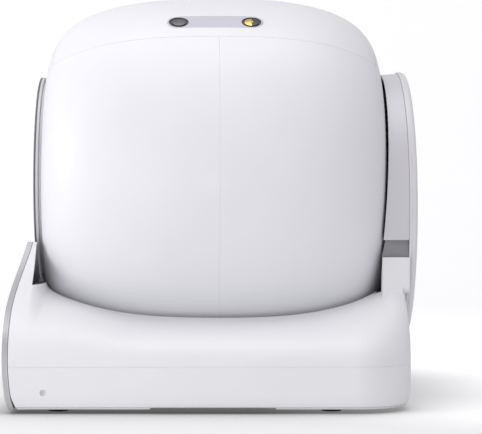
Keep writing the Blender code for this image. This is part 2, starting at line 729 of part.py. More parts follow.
def build_drive(finishes):
    """Hub, ring gear and bearing on the drum's axis, and the pinion and motor under them."""
    toothed_ring("ring_gear", RING_TEETH, GEAR_BACKLASH, GEAR_PITCH_RADIUS - GEAR_RIM, HUB_FACE, (0.0, DRUM_AXIS_Z),
                 finishes["gear"])
    flange_back = HUB_FACE + HUB_FLANGE_DEPTH
    axle_end = HOUSING_BACK + FIT_GAP
    loop = [(HUB_FACE, 0.0), (HUB_FACE, HUB_FLANGE_RADIUS), (flange_back, HUB_FLANGE_RADIUS),
            (flange_back, HUB_AXLE_RADIUS), (axle_end, HUB_AXLE_RADIUS), (axle_end, 0.0)]
    lathe("hub_axle", loop, finishes["steel_dark"], sides=20, pivot=AXIS)
    bearing_back = HOUSING_BACK - FIT_GAP
    ring_y("main_bearing", BEARING_RADIUS, HUB_AXLE_RADIUS + FIT_GAP, bearing_back - BEARING_DEPTH, bearing_back,
           finishes["steel"], sides=16)
    phase = math.pi / PINION_TEETH
    toothed_ring("drive_pinion", PINION_TEETH, GEAR_BACKLASH, MOTOR_SHAFT_RADIUS + FIT_GAP, HUB_FACE + FIT_GAP,
                 pinion_centre(), finishes["gear"], phase)
    build_motor(finishes["motor"])


def build_motor(finish):
    x, z = pinion_centre()
    box_back = HOUSING_BACK - FRAME_WALL - 2 * FIT_GAP
    box_front = box_back - MOTOR_BOX_DEPTH
    outline = circle(MOTOR_HALF_WIDTH, (x, z), 24)
    gearbox = loft_y("gear_motor", [(box_front, outline), (box_back, outline)], finish)
    low = z - MOTOR_HALF_WIDTH - MOTOR_CAN_LENGTH
    can_aft = SEAM_Y + box_back - MOTOR_CAN_RADIUS
    can = rod("can", (x, can_aft, z - MOTOR_HALF_WIDTH + MOTOR_CAN_LAP), (x, can_aft, low), MOTOR_CAN_RADIUS)
    shaft = rod("shaft", (x, SEAM_Y + box_front + FIT_GAP, z), (x, SEAM_Y + HUB_FACE + FIT_GAP, z),
                MOTOR_SHAFT_RADIUS, sides=16)
    combine(gearbox, can, "UNION")
    combine(gearbox, shaft, "UNION")
    return gearbox


def half_width_at(aft, inset=0.0):
    """Half width of the base in plan: straight sides and rounded rear corners."""
    half = BASE_HALF_WIDTH - inset
    start = BASE_BACK - BASE_CORNER
    radius = BASE_CORNER - inset
    if aft <= start:
        return half
    into = min(aft - start, radius)
    return half - radius + math.sqrt(max(0.0, radius * radius - into * into))


def bezier(points, share):
    back = 1 - share
    weights = (back ** 3, 3 * back * back * share, 3 * back * share * share, share ** 3)
    return tuple(sum(weight * point[axis] for weight, point in zip(weights, points)) for axis in (0, 1))


def rim_place(aft):
    """Where the rim under the drum lies: low and wide in the middle, high and close in at the ends."""
    share = min(abs(aft) / end_length(aft), 1.0) ** RIM_POWER
    return RIM_X - RIM_END_INSET * share, RIM_Z + RIM_END_RISE * share


def fade_from_front(aft, length):
    """1 at the back of the front frame and before it, fading smoothly to 0 over a length behind it."""
    into = min(max((length - EAR_BACK - aft) / length, 0.0), 1.0)
    return into * into * (3 - 2 * into)


def between(first, second, share):
    return tuple(low + (high - low) * share for low, high in zip(first, second))


def shoulder_curve(aft, bottom, inset=0.0):
    """Right half of the base's upper section at a place: side wall and rounded shoulder, in to the rim."""
    half_width = half_width_at(aft, inset)
    rim_x, rim_z = rim_place(aft)
    sweep = fade_from_front(aft, SWEEP_LENGTH)
    side_z = between((SIDE_LEVER_Z,), (EAR_LEVER_Z,), sweep)[0]
    crown = between((rim_x + RIM_LEVER_REACH, rim_z - RIM_LEVER_REACH * RIM_SLOPE_SHARE),
                    (EAR_LEVER_X, EAR_LEVER_Z), sweep)
    tip = between((rim_x, rim_z), (EAR_X - inset, EAR_Z), fade_from_front(aft, EAR_BLEND_LENGTH))
    levers = ((half_width, PARTING_HEIGHT), (half_width, side_z - inset), (crown[0], crown[1] - inset),
              (tip[0], tip[1] - inset))
    return [(half_width, bottom)] + [bezier(levers, step / SHOULDER_STEPS) for step in range(1, SHOULDER_STEPS + 1)]


def shoulder_outline(aft, bottom, inset=0.0):
    """Whole cross-section of the upper base: both shoulders, joined by a middle that runs on inside the rim."""
    right = shoulder_curve(aft, bottom, inset)
    tip_x, tip_z = right[-1]
    rise = RIM_RUN_IN * RIM_SLOPE_SHARE * (1 - fade_from_front(aft, EAR_BLEND_LENGTH))
    right.append((tip_x - RIM_RUN_IN, tip_z + rise))
    return right + [(-x, z) for x, z in reversed(right)]


def base_places(inset):
    """Aft places of the base's sections: the front frame, the sweep behind it and the rear corners."""
    start = BASE_BACK - BASE_CORNER
    places = [-(BASE_FRONT - inset)]
    places += spread(-EAR_BACK, -EAR_BLEND, 3)
    places += spread(-EAR_BLEND, -SWEEP_END, 3)[1:]
    places += spread(-SWEEP_END, start, 4)[1:-1]
    for step in range(6):
        places.append(start + (BASE_CORNER - inset) * math.sin(math.pi / 2 * step / 6))
    return places + [BASE_BACK - inset]


def split_quads(target):
    """Split four-sided faces, which may be skewed, so that every face is flat."""
    mesh_data = bmesh.new()
    mesh_data.from_mesh(target.data)
    quads = [face for face in mesh_data.faces if len(face.verts) == 4]
    bmesh.ops.triangulate(mesh_data, faces=quads)
    mesh_data.to_mesh(target.data)
    mesh_data.free()
    return target


def base_envelope(name, inset, bottom, finish=None):
    sections = [(aft, shoulder_outline(aft, bottom, inset)) for aft in base_places(inset)]
    return split_quads(loft_y(name, sections, finish, smooth=True))


def upright_outline(bottom, top):
    """The rear upright: straight cheeks that flare into the base's shoulder."""
    levers = ((UPRIGHT_FOOT_X, UPRIGHT_FOOT_Z), (UPRIGHT_SWEEP_X, UPRIGHT_SWEEP_Z),
              (HOUSING_RADIUS, UPRIGHT_BEND_Z), (HOUSING_RADIUS, UPRIGHT_NECK_Z))
    right = [(UPRIGHT_FOOT_X, bottom)] + [bezier(levers, step / 6) for step in range(7)] + [(HOUSING_RADIUS, top)]
    return right + [(-x, z) for x, z in reversed(right)]


def cheek_outline(top):
    """The full width between the cheeks behind the base's rear wall, eased at its lower corners."""
    right = [(HOUSING_RADIUS - CHEEK_EASE, CHEEK_LOW_Z), (HOUSING_RADIUS, CHEEK_LOW_Z + CHEEK_EASE),
             (HOUSING_RADIUS, top)]
    return right + [(-x, z) for x, z in reversed(right)]


def lower_disc(radius, top):
    """The part of a circle about the housing's centre that lies under a height."""
    reach = math.acos((top - HOUSING_CENTRE_Z) / radius)
    turns = spread(reach, 2 * math.pi - reach, 22)
    return [(radius * math.sin(turn), HOUSING_CENTRE_Z + radius * math.cos(turn)) for turn in turns]


def collar_room(name, grow, front, back):
    hole = circle(COLLAR_ROOM_RADIUS + grow, (0.0, DRUM_AXIS_Z), DRUM_SIDES, math.pi / DRUM_SIDES)
    return loft_y(name, [(front, hole), (back, hole)])


def build_base_shell(finish):
    """Upper base: a hollow shell with ears round the entrance collar and a rear upright."""
    bottom = PARTING_HEIGHT + FIT_GAP / 2
    upright_top = NOTCH_BOTTOM - FIT_GAP
    shell = base_envelope("base_shell", 0.0, bottom, finish)
    upright = upright_outline(bottom + BASE_WALL, upright_top)
    combine(shell, loft_y("upright", [(HOUSING_START, upright), (BASE_BACK - BASE_WALL / 2, upright)]), "UNION")
    pad = lower_disc(HOUSING_RADIUS, upright_top)
    combine(shell, loft_y("pad", [(BASE_BACK - BASE_WALL * 2, pad), (HOUSING_BACK, pad)]), "UNION")
    cheeks = cheek_outline(upright_top)
    combine(shell, loft_y("cheeks", [(BASE_BACK - BASE_WALL * 2, cheeks), (HOUSING_BACK, cheeks)]), "UNION")
    hollow = base_envelope("hollow", BASE_WALL, bottom - CUT_OVERRUN)
    combine(hollow, collar_room("collar_wall", BASE_WALL, -BASE_FRONT, CUT_OVERRUN - EAR_BACK))
    combine(shell, hollow)
    cut_gear_room(shell, bottom)
    combine(shell, collar_room("collar", 0.0, -BASE_FRONT - CUT_OVERRUN, -LEDGE_BACK))
    combine(shell, behind_ears("behind_ears", LEDGE_HEIGHT))
    return combine(shell, barrel_solid("drum_room", DRUM_ROOM))


def behind_ears(name, low):
    """Everything over a height between the ears' back and the place where the sweep ends."""
    return block(name, (-BASE_HALF_WIDTH, -EAR_BACK, low), (BASE_HALF_WIDTH, -SWEEP_END, EAR_Z + CUT_OVERRUN))


def cut_gear_room(shell, bottom):
    """Hollow the upright, and open its back only inside the round cover's seat."""
    room = NOTCH_CORE_HALF_WIDTH - HOUSING_WALL
    wall_back = BASE_BACK - BASE_WALL
    combine(shell, block("gear_room", (-room, 0.0, bottom - CUT_OVERRUN), (room, wall_back, DRUM_AXIS_Z)))
    mouth = lower_disc(room + FIT_GAP, NOTCH_BOTTOM + CUT_OVERRUN)
    return combine(shell, loft_y("gear_mouth", [(HOUSING_START, mouth), (HOUSING_BACK + CUT_OVERRUN, mouth)]))


def plan_outline(inset, steps=6):
    """The base in plan, counter-clockwise from its front right corner."""
    front = -(BASE_FRONT - inset)
    start = BASE_BACK - BASE_CORNER
    radius = BASE_CORNER - inset
    half = BASE_HALF_WIDTH - inset
    right = [(half, front)]
    for step in range(steps + 1):
        turn = math.pi / 2 * step / steps
        right.append((half - radius + radius * math.cos(turn), start + radius * math.sin(turn)))
    return right + [(-x, aft) for x, aft in reversed(right)]


def pan_sections(inset, low, high):
    """Plan outlines up the pan's wall, drawn in at the foot."""
    sections = []
    for rise_share, tuck_share in PAN_TUCK_SHARES:
        z = low + (high - low) * rise_share
        sections.append((z, plan_outline(inset + PAN_TUCK * tuck_share)))
    return sections


def pan_hollow(name):
    inner = plan_outline(BASE_WALL + PAN_TUCK / 2)
    upper = plan_outline(BASE_WALL)
    middle = PAN_TOP + (PARTING_HEIGHT - PAN_TOP) * PAN_SLOPE_SHARE
    top = PARTING_HEIGHT + CUT_OVERRUN
    return loft_z(name, [(PAN_TOP, inner), (middle, upper), (top, upper)])


def grip_cutter(name):
    """Finger room under the drawer front, with slanted ends."""
    low = FOOT_HEIGHT - CUT_OVERRUN
    high = PAN_TOP + FIT_GAP
    outer = BASE_HALF_WIDTH + CUT_OVERRUN
    inner = BASE_HALF_WIDTH - GRIP_DEPTH
    lower = [(inner, -GRIP_FRONT), (outer, -GRIP_FRONT), (outer, GRIP_REAR), (inner, GRIP_REAR)]
    upper = [(inner, GRIP_SLANT - GRIP_FRONT), (outer, GRIP_SLANT - GRIP_FRONT),
             (outer, GRIP_REAR - GRIP_SLANT), (inner, GRIP_REAR - GRIP_SLANT)]
    return loft_z(name, [(low, lower), (high, upper)])


def foot_places():
    return (("front_left", -FOOT_X, -FOOT_FRONT), ("front_right", FOOT_X, -FOOT_FRONT),
            ("rear_left", -FOOT_X, FOOT_REAR), ("rear_right", FOOT_X, FOOT_REAR))


def build_pan(finish):
    top = PARTING_HEIGHT - FIT_GAP / 2
    pan = loft_z("base_pan", pan_sections(0.0, FOOT_HEIGHT, top), finish)
    combine(pan, pan_hollow("pan_hollow"))
    mouth = block("mouth", (DRAWER_SPLIT_X, -BASE_FRONT - CUT_OVERRUN, PAN_TOP),
                  (BASE_HALF_WIDTH + CUT_OVERRUN, BASE_BACK + CUT_OVERRUN, top + CUT_OVERRUN))
    combine(pan, mouth)
    combine(pan, grip_cutter("grip"))
    for label, x, aft in foot_places():
        bore = rod("bore", (x, SEAM_Y + aft, 0.0), (x, SEAM_Y + aft, PAN_TOP + CUT_OVERRUN),
                   FOOT_STEM_RADIUS + FIT_GAP, sides=12)
        combine(pan, bore)
    inlet = rod("inlet", (INLET_X, SEAM_Y + BASE_BACK - INLET_DEPTH, INLET_Z),
                (INLET_X, SEAM_Y + BASE_BACK + CUT_OVERRUN, INLET_Z), INLET_RADIUS + FIT_GAP, sides=12)
    return combine(pan, inlet)


def build_feet(finishes):
    for label, x, aft in foot_places():
        y = SEAM_Y + aft
        mesh_data = bmesh.new()
        top = FOOT_HEIGHT - FIT_GAP
        stem_top = PAN_TOP + FIT_GAP
        rings = []
        for radius, z in ((FOOT_RADIUS - FOOT_EASE, 0.0), (FOOT_RADIUS, FOOT_EASE_HEIGHT), (FOOT_RADIUS, top),
                          (FOOT_STEM_RADIUS, top), (FOOT_STEM_RADIUS, stem_top)):
            rings.append([(x + px, y + py, z) for px, py in circle(radius, sides=12)])
        bridge(mesh_data, rings)
        add_object("foot_" + label, mesh_data, finishes["rubber"], smooth=False)
        low = stem_top + FIT_GAP
        block("load_cell_" + label, (x - CELL_LENGTH / 2, aft - CELL_WIDTH / 2, low),
              (x + CELL_LENGTH / 2, aft + CELL_WIDTH / 2, low + CELL_HEIGHT), finishes["aluminium"])


def build_cradle(finish):
    """The dark tray under the drum, cut to the base's own top and opened over the drawer."""
    places = [cradle_front_place(), places_to(LIP_SHARE)[0]] + places_to(HATCH_END_SHARE)
    tray = skin_slab("cradle_tray", places, math.pi - CRADLE_HALF_TURN, math.pi + CRADLE_HALF_TURN,
                     CRADLE_ROOM + CRADLE_WALL, CRADLE_ROOM, finish, sides_per_step=2)
    limit = base_envelope("limit", BASE_WALL / 2, FOOT_HEIGHT)
    combine(tray, limit, "INTERSECT")
    combine(tray, behind_ears("ledge_room", RIM_Z + RIM_END_RISE - BASE_WALL))
    places = [-PORT_HALF_LENGTH, 0.0, PORT_HALF_LENGTH]
    chute = slab("chute", places, lambda aft: spread(CHUTE_TURN - CHUTE_HALF_TURN, CHUTE_TURN + CHUTE_HALF_TURN, 4),
                 lambda index, turn: DRUM_RADIUS + CRADLE_ROOM * 4, lambda index, turn: DRUM_RADIUS)
    return combine(tray, chute)


def face_outline(inset):
    """Front view of the base's face: straight sides, swept shoulders, ears and the round notch."""
    half = BASE_HALF_WIDTH - inset
    bottom = FOOT_HEIGHT + inset
    notch = COLLAR_ROOM_RADIUS + inset
    ear_z = EAR_Z - inset
    upper = shoulder_curve(-BASE_FRONT, PARTING_HEIGHT, inset)
    right = [(half - PAN_TUCK, bottom), (half, bottom + PAN_TUCK * 2)] + upper
    notch_turn = math.acos((DRUM_AXIS_Z - ear_z) / notch)
    arc = spread(notch_turn, 0.0, 12)
    right += [(notch * math.sin(turn), DRUM_AXIS_Z - notch * math.cos(turn)) for turn in arc]
    return right + [(-x, z) for x, z in reversed(right[:-1])]


def lean_at(z):
    """How far the face has leaned back at a height, in straight runs between the levels."""
    levels = spread(FACE_LEAN_FROM, EAR_Z, FACE_LEAN_STEPS)
    amounts = [FACE_LEAN * (step / FACE_LEAN_STEPS) ** 2 for step in range(FACE_LEAN_STEPS + 1)]
    return float(np.interp(z, levels, amounts))


def lean_back(target):
    """Bend the top of a front piece backwards; the ears' rear edge stays where it is."""
    mesh_data = bmesh.new()
    mesh_data.from_mesh(target.data)
    rear_edge = SEAM_Y - EAR_BACK
    for z in spread(FACE_LEAN_FROM, EAR_Z, FACE_LEAN_STEPS)[:-1]:
        faces = [face for face in mesh_data.faces if min(vert.co.y for vert in face.verts) < rear_edge - FIT_GAP]
        edges = {edge for face in faces for edge in face.edges}
        verts = {vert for face in faces for vert in face.verts}
        bmesh.ops.bisect_plane(mesh_data, geom=[*verts, *edges, *faces], plane_co=(0.0, 0.0, z),
                               plane_no=(0.0, 0.0, 1.0), dist=1e-6)
    for vert in mesh_data.verts:
        depth = (rear_edge - vert.co.y) / (BASE_FRONT - EAR_BACK)
        vert.co.y += lean_at(vert.co.z) * max(0.0, depth)
    mesh_data.to_mesh(target.data)
    mesh_data.free()
    return target


def face_plate(name, front, back, outline, finish=None):
    return loft_y(name, [(front, outline), (back, outline)], finish)


def button_places():
    return [(BUTTON_PITCH * offset, DISPLAY_Z - BUTTON_DROP) for offset in (-1, 0, 1)]


def build_front(shell, finishes):
    """Satin trim, fascia, display and buttons on the base shell's front wall."""
    for label, x, z in roller_places():
        front = SEAM_Y - BASE_FRONT + BASE_WALL + FIT_GAP
        combine(shell, rod("roller_window", (x, front, z), (x, SEAM_Y - LEDGE_BACK, z), ROLLER_RADIUS + RUN_GAP * 2))
    trim_back = -(BASE_FRONT + FIT_GAP)
    trim = face_plate("front_trim", -FRONT_REACH, trim_back, face_outline(0.0), finishes["satin_trim"])
    combine(trim, face_plate("trim_hole", -(FRONT_REACH + CUT_OVERRUN), trim_back + CUT_OVERRUN,
                             face_outline(TRIM_BAND)))
    panel = face_plate("front_fascia", -(FRONT_REACH - FIT_GAP), trim_back, face_outline(TRIM_BAND + FIT_GAP),
                       finishes["fascia"])
    cut_display(panel)
    for x, z in button_places():
        for target in (panel, shell):
            bore = rod("bore", (x, SEAM_Y - FRONT_REACH - CUT_OVERRUN, z), (x, SEAM_Y - EAR_BACK, z),
                       BUTTON_RADIUS + FIT_GAP, sides=16)
            combine(target, bore)
    for piece in (shell, trim, panel):
        lean_back(piece)
    build_controls(finishes)


def display_box(name, grow, front, back, finish=None):
    half = DISPLAY_WIDTH / 2 + grow
    rise = DISPLAY_HEIGHT / 2 + grow
    return block(name, (-half, front, DISPLAY_Z - rise), (half, back, DISPLAY_Z + rise), finish)


def cut_display(panel):
    depth = FRONT_REACH - FIT_GAP - DISPLAY_DEPTH - FIT_GAP
    combine(panel, display_box("window_seat", FIT_GAP, -(FRONT_REACH + CUT_OVERRUN), -depth))


def build_controls(finishes):
    """Display window, the board behind the bezel, and the sprung buttons."""
    front = FRONT_REACH - FIT_GAP
    display_box("display_window", 0.0, -front, -(front - DISPLAY_DEPTH), finishes["glass"])
    board_front = BASE_FRONT - BASE_WALL - FIT_GAP
    board_back = board_front - PCB_DEPTH
    low = DISPLAY_Z - BUTTON_DROP - BUTTON_RADIUS - DISPLAY_BOARD_MARGIN
    block("display_board", (-DISPLAY_WIDTH, -board_front, low), (DISPLAY_WIDTH, -board_back, DISPLAY_Z),
          finishes["board"])
    for name, place in zip(("power_button", "clean_button", "mode_button"), button_places()):
        x, z = place
        tip = SEAM_Y - FRONT_REACH + BUTTON_SINK
        rod(name, (x, tip, z), (x, tip + BUTTON_DEPTH, z), BUTTON_RADIUS, finishes["button"], 16,
            pivot=(x, tip, z))


def roller_places():
    distance = ENTRANCE_RING_RADIUS + FIT_GAP + ROLLER_RADIUS
    rise = DRUM_AXIS_Z - distance * math.cos(ROLLER_TURN)
    return (("left", -distance * math.sin(ROLLER_TURN), rise), ("right", distance * math.sin(ROLLER_TURN), rise))


def build_rollers(finishes):
    """Two rollers under the entrance ring, on axles in a bracket behind the bezel."""
    ring_middle = NECK_REACH + FIT_GAP + (ENTRANCE_RING_DEPTH + ENTRANCE_LIP_DEPTH) / 2
    front = -(ring_middle + ROLLER_WIDTH / 2)
    back = front + ROLLER_WIDTH
    for label, x, z in roller_places():
        ring_y("roller_" + label, ROLLER_RADIUS, ROLLER_AXLE_RADIUS + FIT_GAP, front, back, finishes["nylon"],
               (x, z), 16, (x, SEAM_Y, z))
        bracket_back = front - RUN_GAP
        bracket_front = bracket_back - BRACKET_DEPTH
        bracket = ring_y("roller_bracket_" + label, BRACKET_RADIUS, ROLLER_AXLE_RADIUS, bracket_front, bracket_back,
                         finishes["base"], (x, z), 16)
        post_top = z - (BRACKET_RADIUS + ROLLER_AXLE_RADIUS) / 2
        foot = block("post", (x - POST_HALF_WIDTH, bracket_front, PAN_TOP + FIT_GAP),
                     (x + POST_HALF_WIDTH, bracket_back, post_top))
        combine(bracket, foot, "UNION")
        rod("roller_axle_" + label, (x, SEAM_Y + (bracket_front + bracket_back) / 2, z),
            (x, SEAM_Y + back, z), ROLLER_AXLE_RADIUS - FIT_GAP, finishes["steel"], 16)


def d_outline(radius, flat_z, centre_z=HOUSING_CENTRE_Z, steps=30):
    """A circle cut off flat at a height, from its right corner over the top."""
    reach = math.acos((centre_z - flat_z) / radius)
    start = math.pi - reach
    return [(radius * math.sin(start - 2 * start * step / steps),
             centre_z + radius * math.cos(start - 2 * start * step / steps)) for step in range(steps + 1)]


def build_housing(finishes):
    """The round upper housing, hollow, with a hand notch low on each side."""
    slim = d_outline(HOUSING_RADIUS - HOUSING_DRAFT, NOTCH_BOTTOM)
    full = d_outline(HOUSING_RADIUS, NOTCH_BOTTOM)
    housing = loft_y("rear_housing", [(HOUSING_START, slim), (HOUSING_BACK, full)], finishes["housing"], smooth=True)
    room = HOUSING_RADIUS - HOUSING_DRAFT - HOUSING_WALL
    notch_top = NOTCH_BOTTOM + NOTCH_HEIGHT
    upper = d_outline(room, notch_top + HOUSING_WALL)
    ends = (HOUSING_START - CUT_OVERRUN, HOUSING_BACK + CUT_OVERRUN)
    combine(housing, loft_y("upper_room", [(aft, upper) for aft in ends]))
    core = NOTCH_CORE_HALF_WIDTH - HOUSING_WALL
    combine(housing, block("lower_room", (-core, ends[0], NOTCH_BOTTOM - CUT_OVERRUN),
                           (core, ends[1], notch_top + HOUSING_WALL * 2)))
    for side in (-1, 1):
        xs = sorted((side * NOTCH_CORE_HALF_WIDTH, side * (HOUSING_RADIUS + CUT_OVERRUN)))
        combine(housing, block("notch", (xs[0], ends[0], NOTCH_BOTTOM - CUT_OVERRUN),
                               (xs[1], HOUSING_BACK + CUT_OVERRUN, notch_top)))
    combine(housing, barrel_solid("drum_room", HOUSING_ROOM))
    build_cover(finishes)
    build_frame(finishes["frame"])


def build_cover(finishes):
    """The round back cover, a shallow dish held to the gear frame by four screws."""
    start = HOUSING_BACK + FIT_GAP
    eased = COVER_EDGE * COVER_ROUND_SHARE
    rounding = ((start, 0.0), (REAR_REACH - COVER_EDGE, 0.0), (REAR_REACH - eased, eased), (REAR_REACH, COVER_EDGE))
    sections = []
    for aft, inset in rounding:
        sections.append((aft, [(x, HOUSING_CENTRE_Z + z) for x, z in circle(COVER_RADIUS - inset, sides=DRUM_SIDES)]))
    cover = loft_y("back_cover", sections, finishes["cover"], smooth=False)
    inner = [(x, HOUSING_CENTRE_Z + z) for x, z in circle(COVER_RADIUS - COVER_EDGE - COVER_WALL, sides=DRUM_SIDES)]
    combine(cover, loft_y("cover_room", [(start - CUT_OVERRUN, inner), (REAR_REACH - COVER_WALL, inner)]))
    labels = ("upper_right", "lower_right", "lower_left", "upper_left")
    centres = circle(COVER_SCREW_CIRCLE, (0.0, HOUSING_CENTRE_Z), len(labels), math.pi / len(labels))
    for label, centre in zip(labels, centres):
        hole = circle(COVER_SCREW_RADIUS + FIT_GAP, centre, 12)
        combine(cover, loft_y("hole", [(REAR_REACH - COVER_WALL * 2, hole), (REAR_REACH + CUT_OVERRUN, hole)]))
        head = circle(COVER_SCREW_RADIUS, centre, 12)
        loft_y("cover_screw_" + label, [(HOUSING_BACK, head), (REAR_REACH - FIT_GAP, head)], finishes["steel"])


def build_frame(finish):
    """The plate that carries the bearing and the motor, shut in by the back cover."""
    front = HOUSING_BACK - FRAME_WALL - FIT_GAP
    back = HOUSING_BACK - FIT_GAP
    room = HOUSING_RADIUS - HOUSING_DRAFT - HOUSING_WALL - FIT_GAP
    top = d_outline(room, NOTCH_BOTTOM + NOTCH_HEIGHT + HOUSING_WALL + FIT_GAP)
    frame = loft_y("gear_frame", [(front, top), (back, top)], finish)
    core = NOTCH_CORE_HALF_WIDTH - HOUSING_WALL - FIT_GAP
    lower = lower_disc(core, NOTCH_BOTTOM + NOTCH_HEIGHT + HOUSING_WALL + FRAME_LAP)
    combine(frame, loft_y("lower", [(front, lower), (back, lower)]), "UNION")
    boss_front = HOUSING_BACK - FIT_GAP - BEARING_DEPTH
    outer = circle(BEARING_RADIUS + FRAME_WALL, (0.0, DRUM_AXIS_Z), 20)
    combine(frame, loft_y("boss", [(boss_front, outer), (back, outer)]), "UNION")
    bore = circle(BEARING_RADIUS + FIT_GAP, (0.0, DRUM_AXIS_Z), 20)
    return combine(frame, loft_y("bore", [(boss_front - CUT_OVERRUN, bore), (back + CUT_OVERRUN, bore)]))


def build_electrics(finishes):
    """Control board behind the gear frame, and the power inlet in the pan's rear wall."""
    front = HOUSING_BACK + FIT_GAP
    board = block("control_board", (-BOARD_WIDTH / 2, front, BOARD_Z - BOARD_HEIGHT / 2),
                  (BOARD_WIDTH / 2, front + PCB_DEPTH, BOARD_Z + BOARD_HEIGHT / 2), finishes["board"])
    for offset in (-1, 1):
        x = offset * BOARD_WIDTH / 4
        chip = block("chip", (x - CHIP_SIZE / 2, front + PCB_DEPTH / 2, BOARD_Z - CHIP_SIZE / 2),
                     (x + CHIP_SIZE / 2, front + PCB_DEPTH + CHIP_HEIGHT, BOARD_Z + CHIP_SIZE / 2))
        combine(board, chip, "UNION")
    back = BASE_BACK - FIT_GAP
    inlet = ring_y("power_inlet", INLET_RADIUS, INLET_BORE_RADIUS, back - INLET_DEPTH, back,
                   finishes["dark_plastic"], (INLET_X, INLET_Z), 12)
    plug = rod("end", (INLET_X, SEAM_Y + back - INLET_DEPTH, INLET_Z),
               (INLET_X, SEAM_Y + back - INLET_DEPTH + INLET_PIN_LENGTH, INLET_Z), INLET_PIN_RADIUS, sides=12)
    combine(inlet, plug, "UNION")


def bin_profile(inset, low):
    """Side view of the waste bin: low under the drum, full height towards the drawer front."""
    left = BIN_INNER_X + inset
    right = DRAWER_INNER_X - inset
    bottom = low + inset
    return [(left, bottom), (right, bottom), (right, low + BIN_HEIGHT), (BIN_INNER_X + BIN_SLOPE_X, low + BIN_HEIGHT),
            (left, low + BIN_LOW_HEIGHT)]


def build_drawer(finishes):
    """The drawer front is the pan's own right side; the waste bin hangs behind it."""
    low = PAN_TOP + FIT_GAP
    top = PARTING_HEIGHT - FIT_GAP / 2
    front = loft_z("drawer_front", pan_sections(0.0, FOOT_HEIGHT, top), finishes["pan"])
    combine(front, pan_hollow("hollow"))
    keep = block("keep", (DRAWER_SPLIT_X + RUN_GAP, -BASE_FRONT * 2, low), (BASE_HALF_WIDTH * 2, BASE_BACK * 2, top * 2))
    combine(front, keep, "INTERSECT")
    floor_point = (BASE_HALF_WIDTH - DIMPLE_DEPTH, SEAM_Y - DIMPLE_FRONT, DIMPLE_Z)
    open_point = (BASE_HALF_WIDTH + CUT_OVERRUN, SEAM_Y - DIMPLE_FRONT, DIMPLE_Z)
    combine(front, rod("dimple", floor_point, open_point, DIMPLE_RADIUS, sides=12))
    floor = low + RUN_GAP
    outer = bin_profile(0.0, floor)
    bin_body = loft_y("waste_bin", [(-BIN_FRONT, outer), (BIN_REAR, outer)], finishes["bin"])
    inner = bin_profile(BIN_WALL, floor)
    lift = [(x, z + CUT_OVERRUN if index > 1 else z) for index, (x, z) in enumerate(inner)]
    combine(bin_body, loft_y("bin_room", [(BIN_WALL - BIN_FRONT, lift), (BIN_REAR - BIN_WALL, lift)]))
    for name, aft, side in (("drawer_rail_front", -BIN_FRONT, -1), ("drawer_rail_rear", BIN_REAR, 1)):
        near = aft + side * RUN_GAP
        far = near + side * BASE_WALL
        ends = sorted((near, far))
        block(name, (BIN_INNER_X, ends[0], low), (DRAWER_SPLIT_X, ends[1], low + BIN_LOW_HEIGHT), finishes["pan"])


def finishes_for_all():
    white = (0.86, 0.86, 0.88)
    return {
        "drum_front": material("drum_front_gloss_white", white, 0.22),
        "drum_rear": material("drum_rear_gloss_white", white, 0.22),
        "hatch": material("hatch_gloss_white", white, 0.22),
        "catch_strip": material("catch_lavender_grey", (0.60, 0.59, 0.64), 0.4),
        "satin_ring": material("entrance_satin_grey", (0.55, 0.56, 0.58), 0.38, 0.6),
        "lip_grey": material("entrance_dark_grey", (0.22, 0.22, 0.24), 0.5),
        "satin_trim": material("front_satin_silver", (0.56, 0.57, 0.58), 0.35, 0.6),
        "fascia": material("fascia_white", white, 0.25),
        "base": material("base_white", (0.84, 0.84, 0.85), 0.35),
        "pan": material("pan_white", (0.84, 0.84, 0.85), 0.4),
        "housing": material("housing_white", (0.82, 0.82, 0.83), 0.35),
        "cover": material("cover_white", (0.82, 0.82, 0.83), 0.35),
        "frame": material("frame_grey", (0.10, 0.10, 0.11), 0.6),
        "cradle": material("cradle_black", (0.03, 0.03, 0.035), 0.6),
        "liner": material("liner_grey", (0.62, 0.63, 0.65), 0.5),
        "sieve": material("sieve_grey", (0.45, 0.46, 0.50), 0.5),
        "bin": material("bin_grey", (0.35, 0.36, 0.38), 0.5),
        "rubber": material("foot_rubber", (0.02, 0.02, 0.02), 0.8),
        "nylon": material("roller_nylon", (0.75, 0.74, 0.70), 0.5),
        "gear": material("gear_black_acetal", (0.04, 0.04, 0.045), 0.45),
        "motor": material("motor_steel", (0.35, 0.35, 0.36), 0.4, 0.8),
        "steel": material("bright_steel", (0.62, 0.62, 0.62), 0.3, 1.0),
        "steel_dark": material("axle_steel", (0.45, 0.45, 0.46), 0.35, 1.0),
        "brass": material("stud_brass", (0.75, 0.55, 0.22), 0.3, 1.0),
        "aluminium": material("cell_aluminium", (0.65, 0.66, 0.67), 0.4, 1.0),
        "board": material("board_green", (0.03, 0.16, 0.09), 0.5),
        "glass": material("display_black", (0.015, 0.015, 0.018), 0.1),
        "button": material("button_grey", (0.70, 0.70, 0.72), 0.4),
        "dark_plastic": material("inlet_black", (0.03, 0.03, 0.03), 0.5),
    }


def build():
    clear_scene()
    finishes = finishes_for_all()
    shell = build_base_shell(finishes["base"])
    build_pan(finishes["pan"])
    build_front(shell, finishes)
    build_rollers(finishes)
    build_cradle(finishes["cradle"])
    build_feet(finishes)
    build_housing(finishes)
    build_electrics(finishes)
    build_drawer(finishes)
    build_drum(finishes)
    build_drive(finishes)
    build_hatch(finishes)


build()
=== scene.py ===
import json
import math

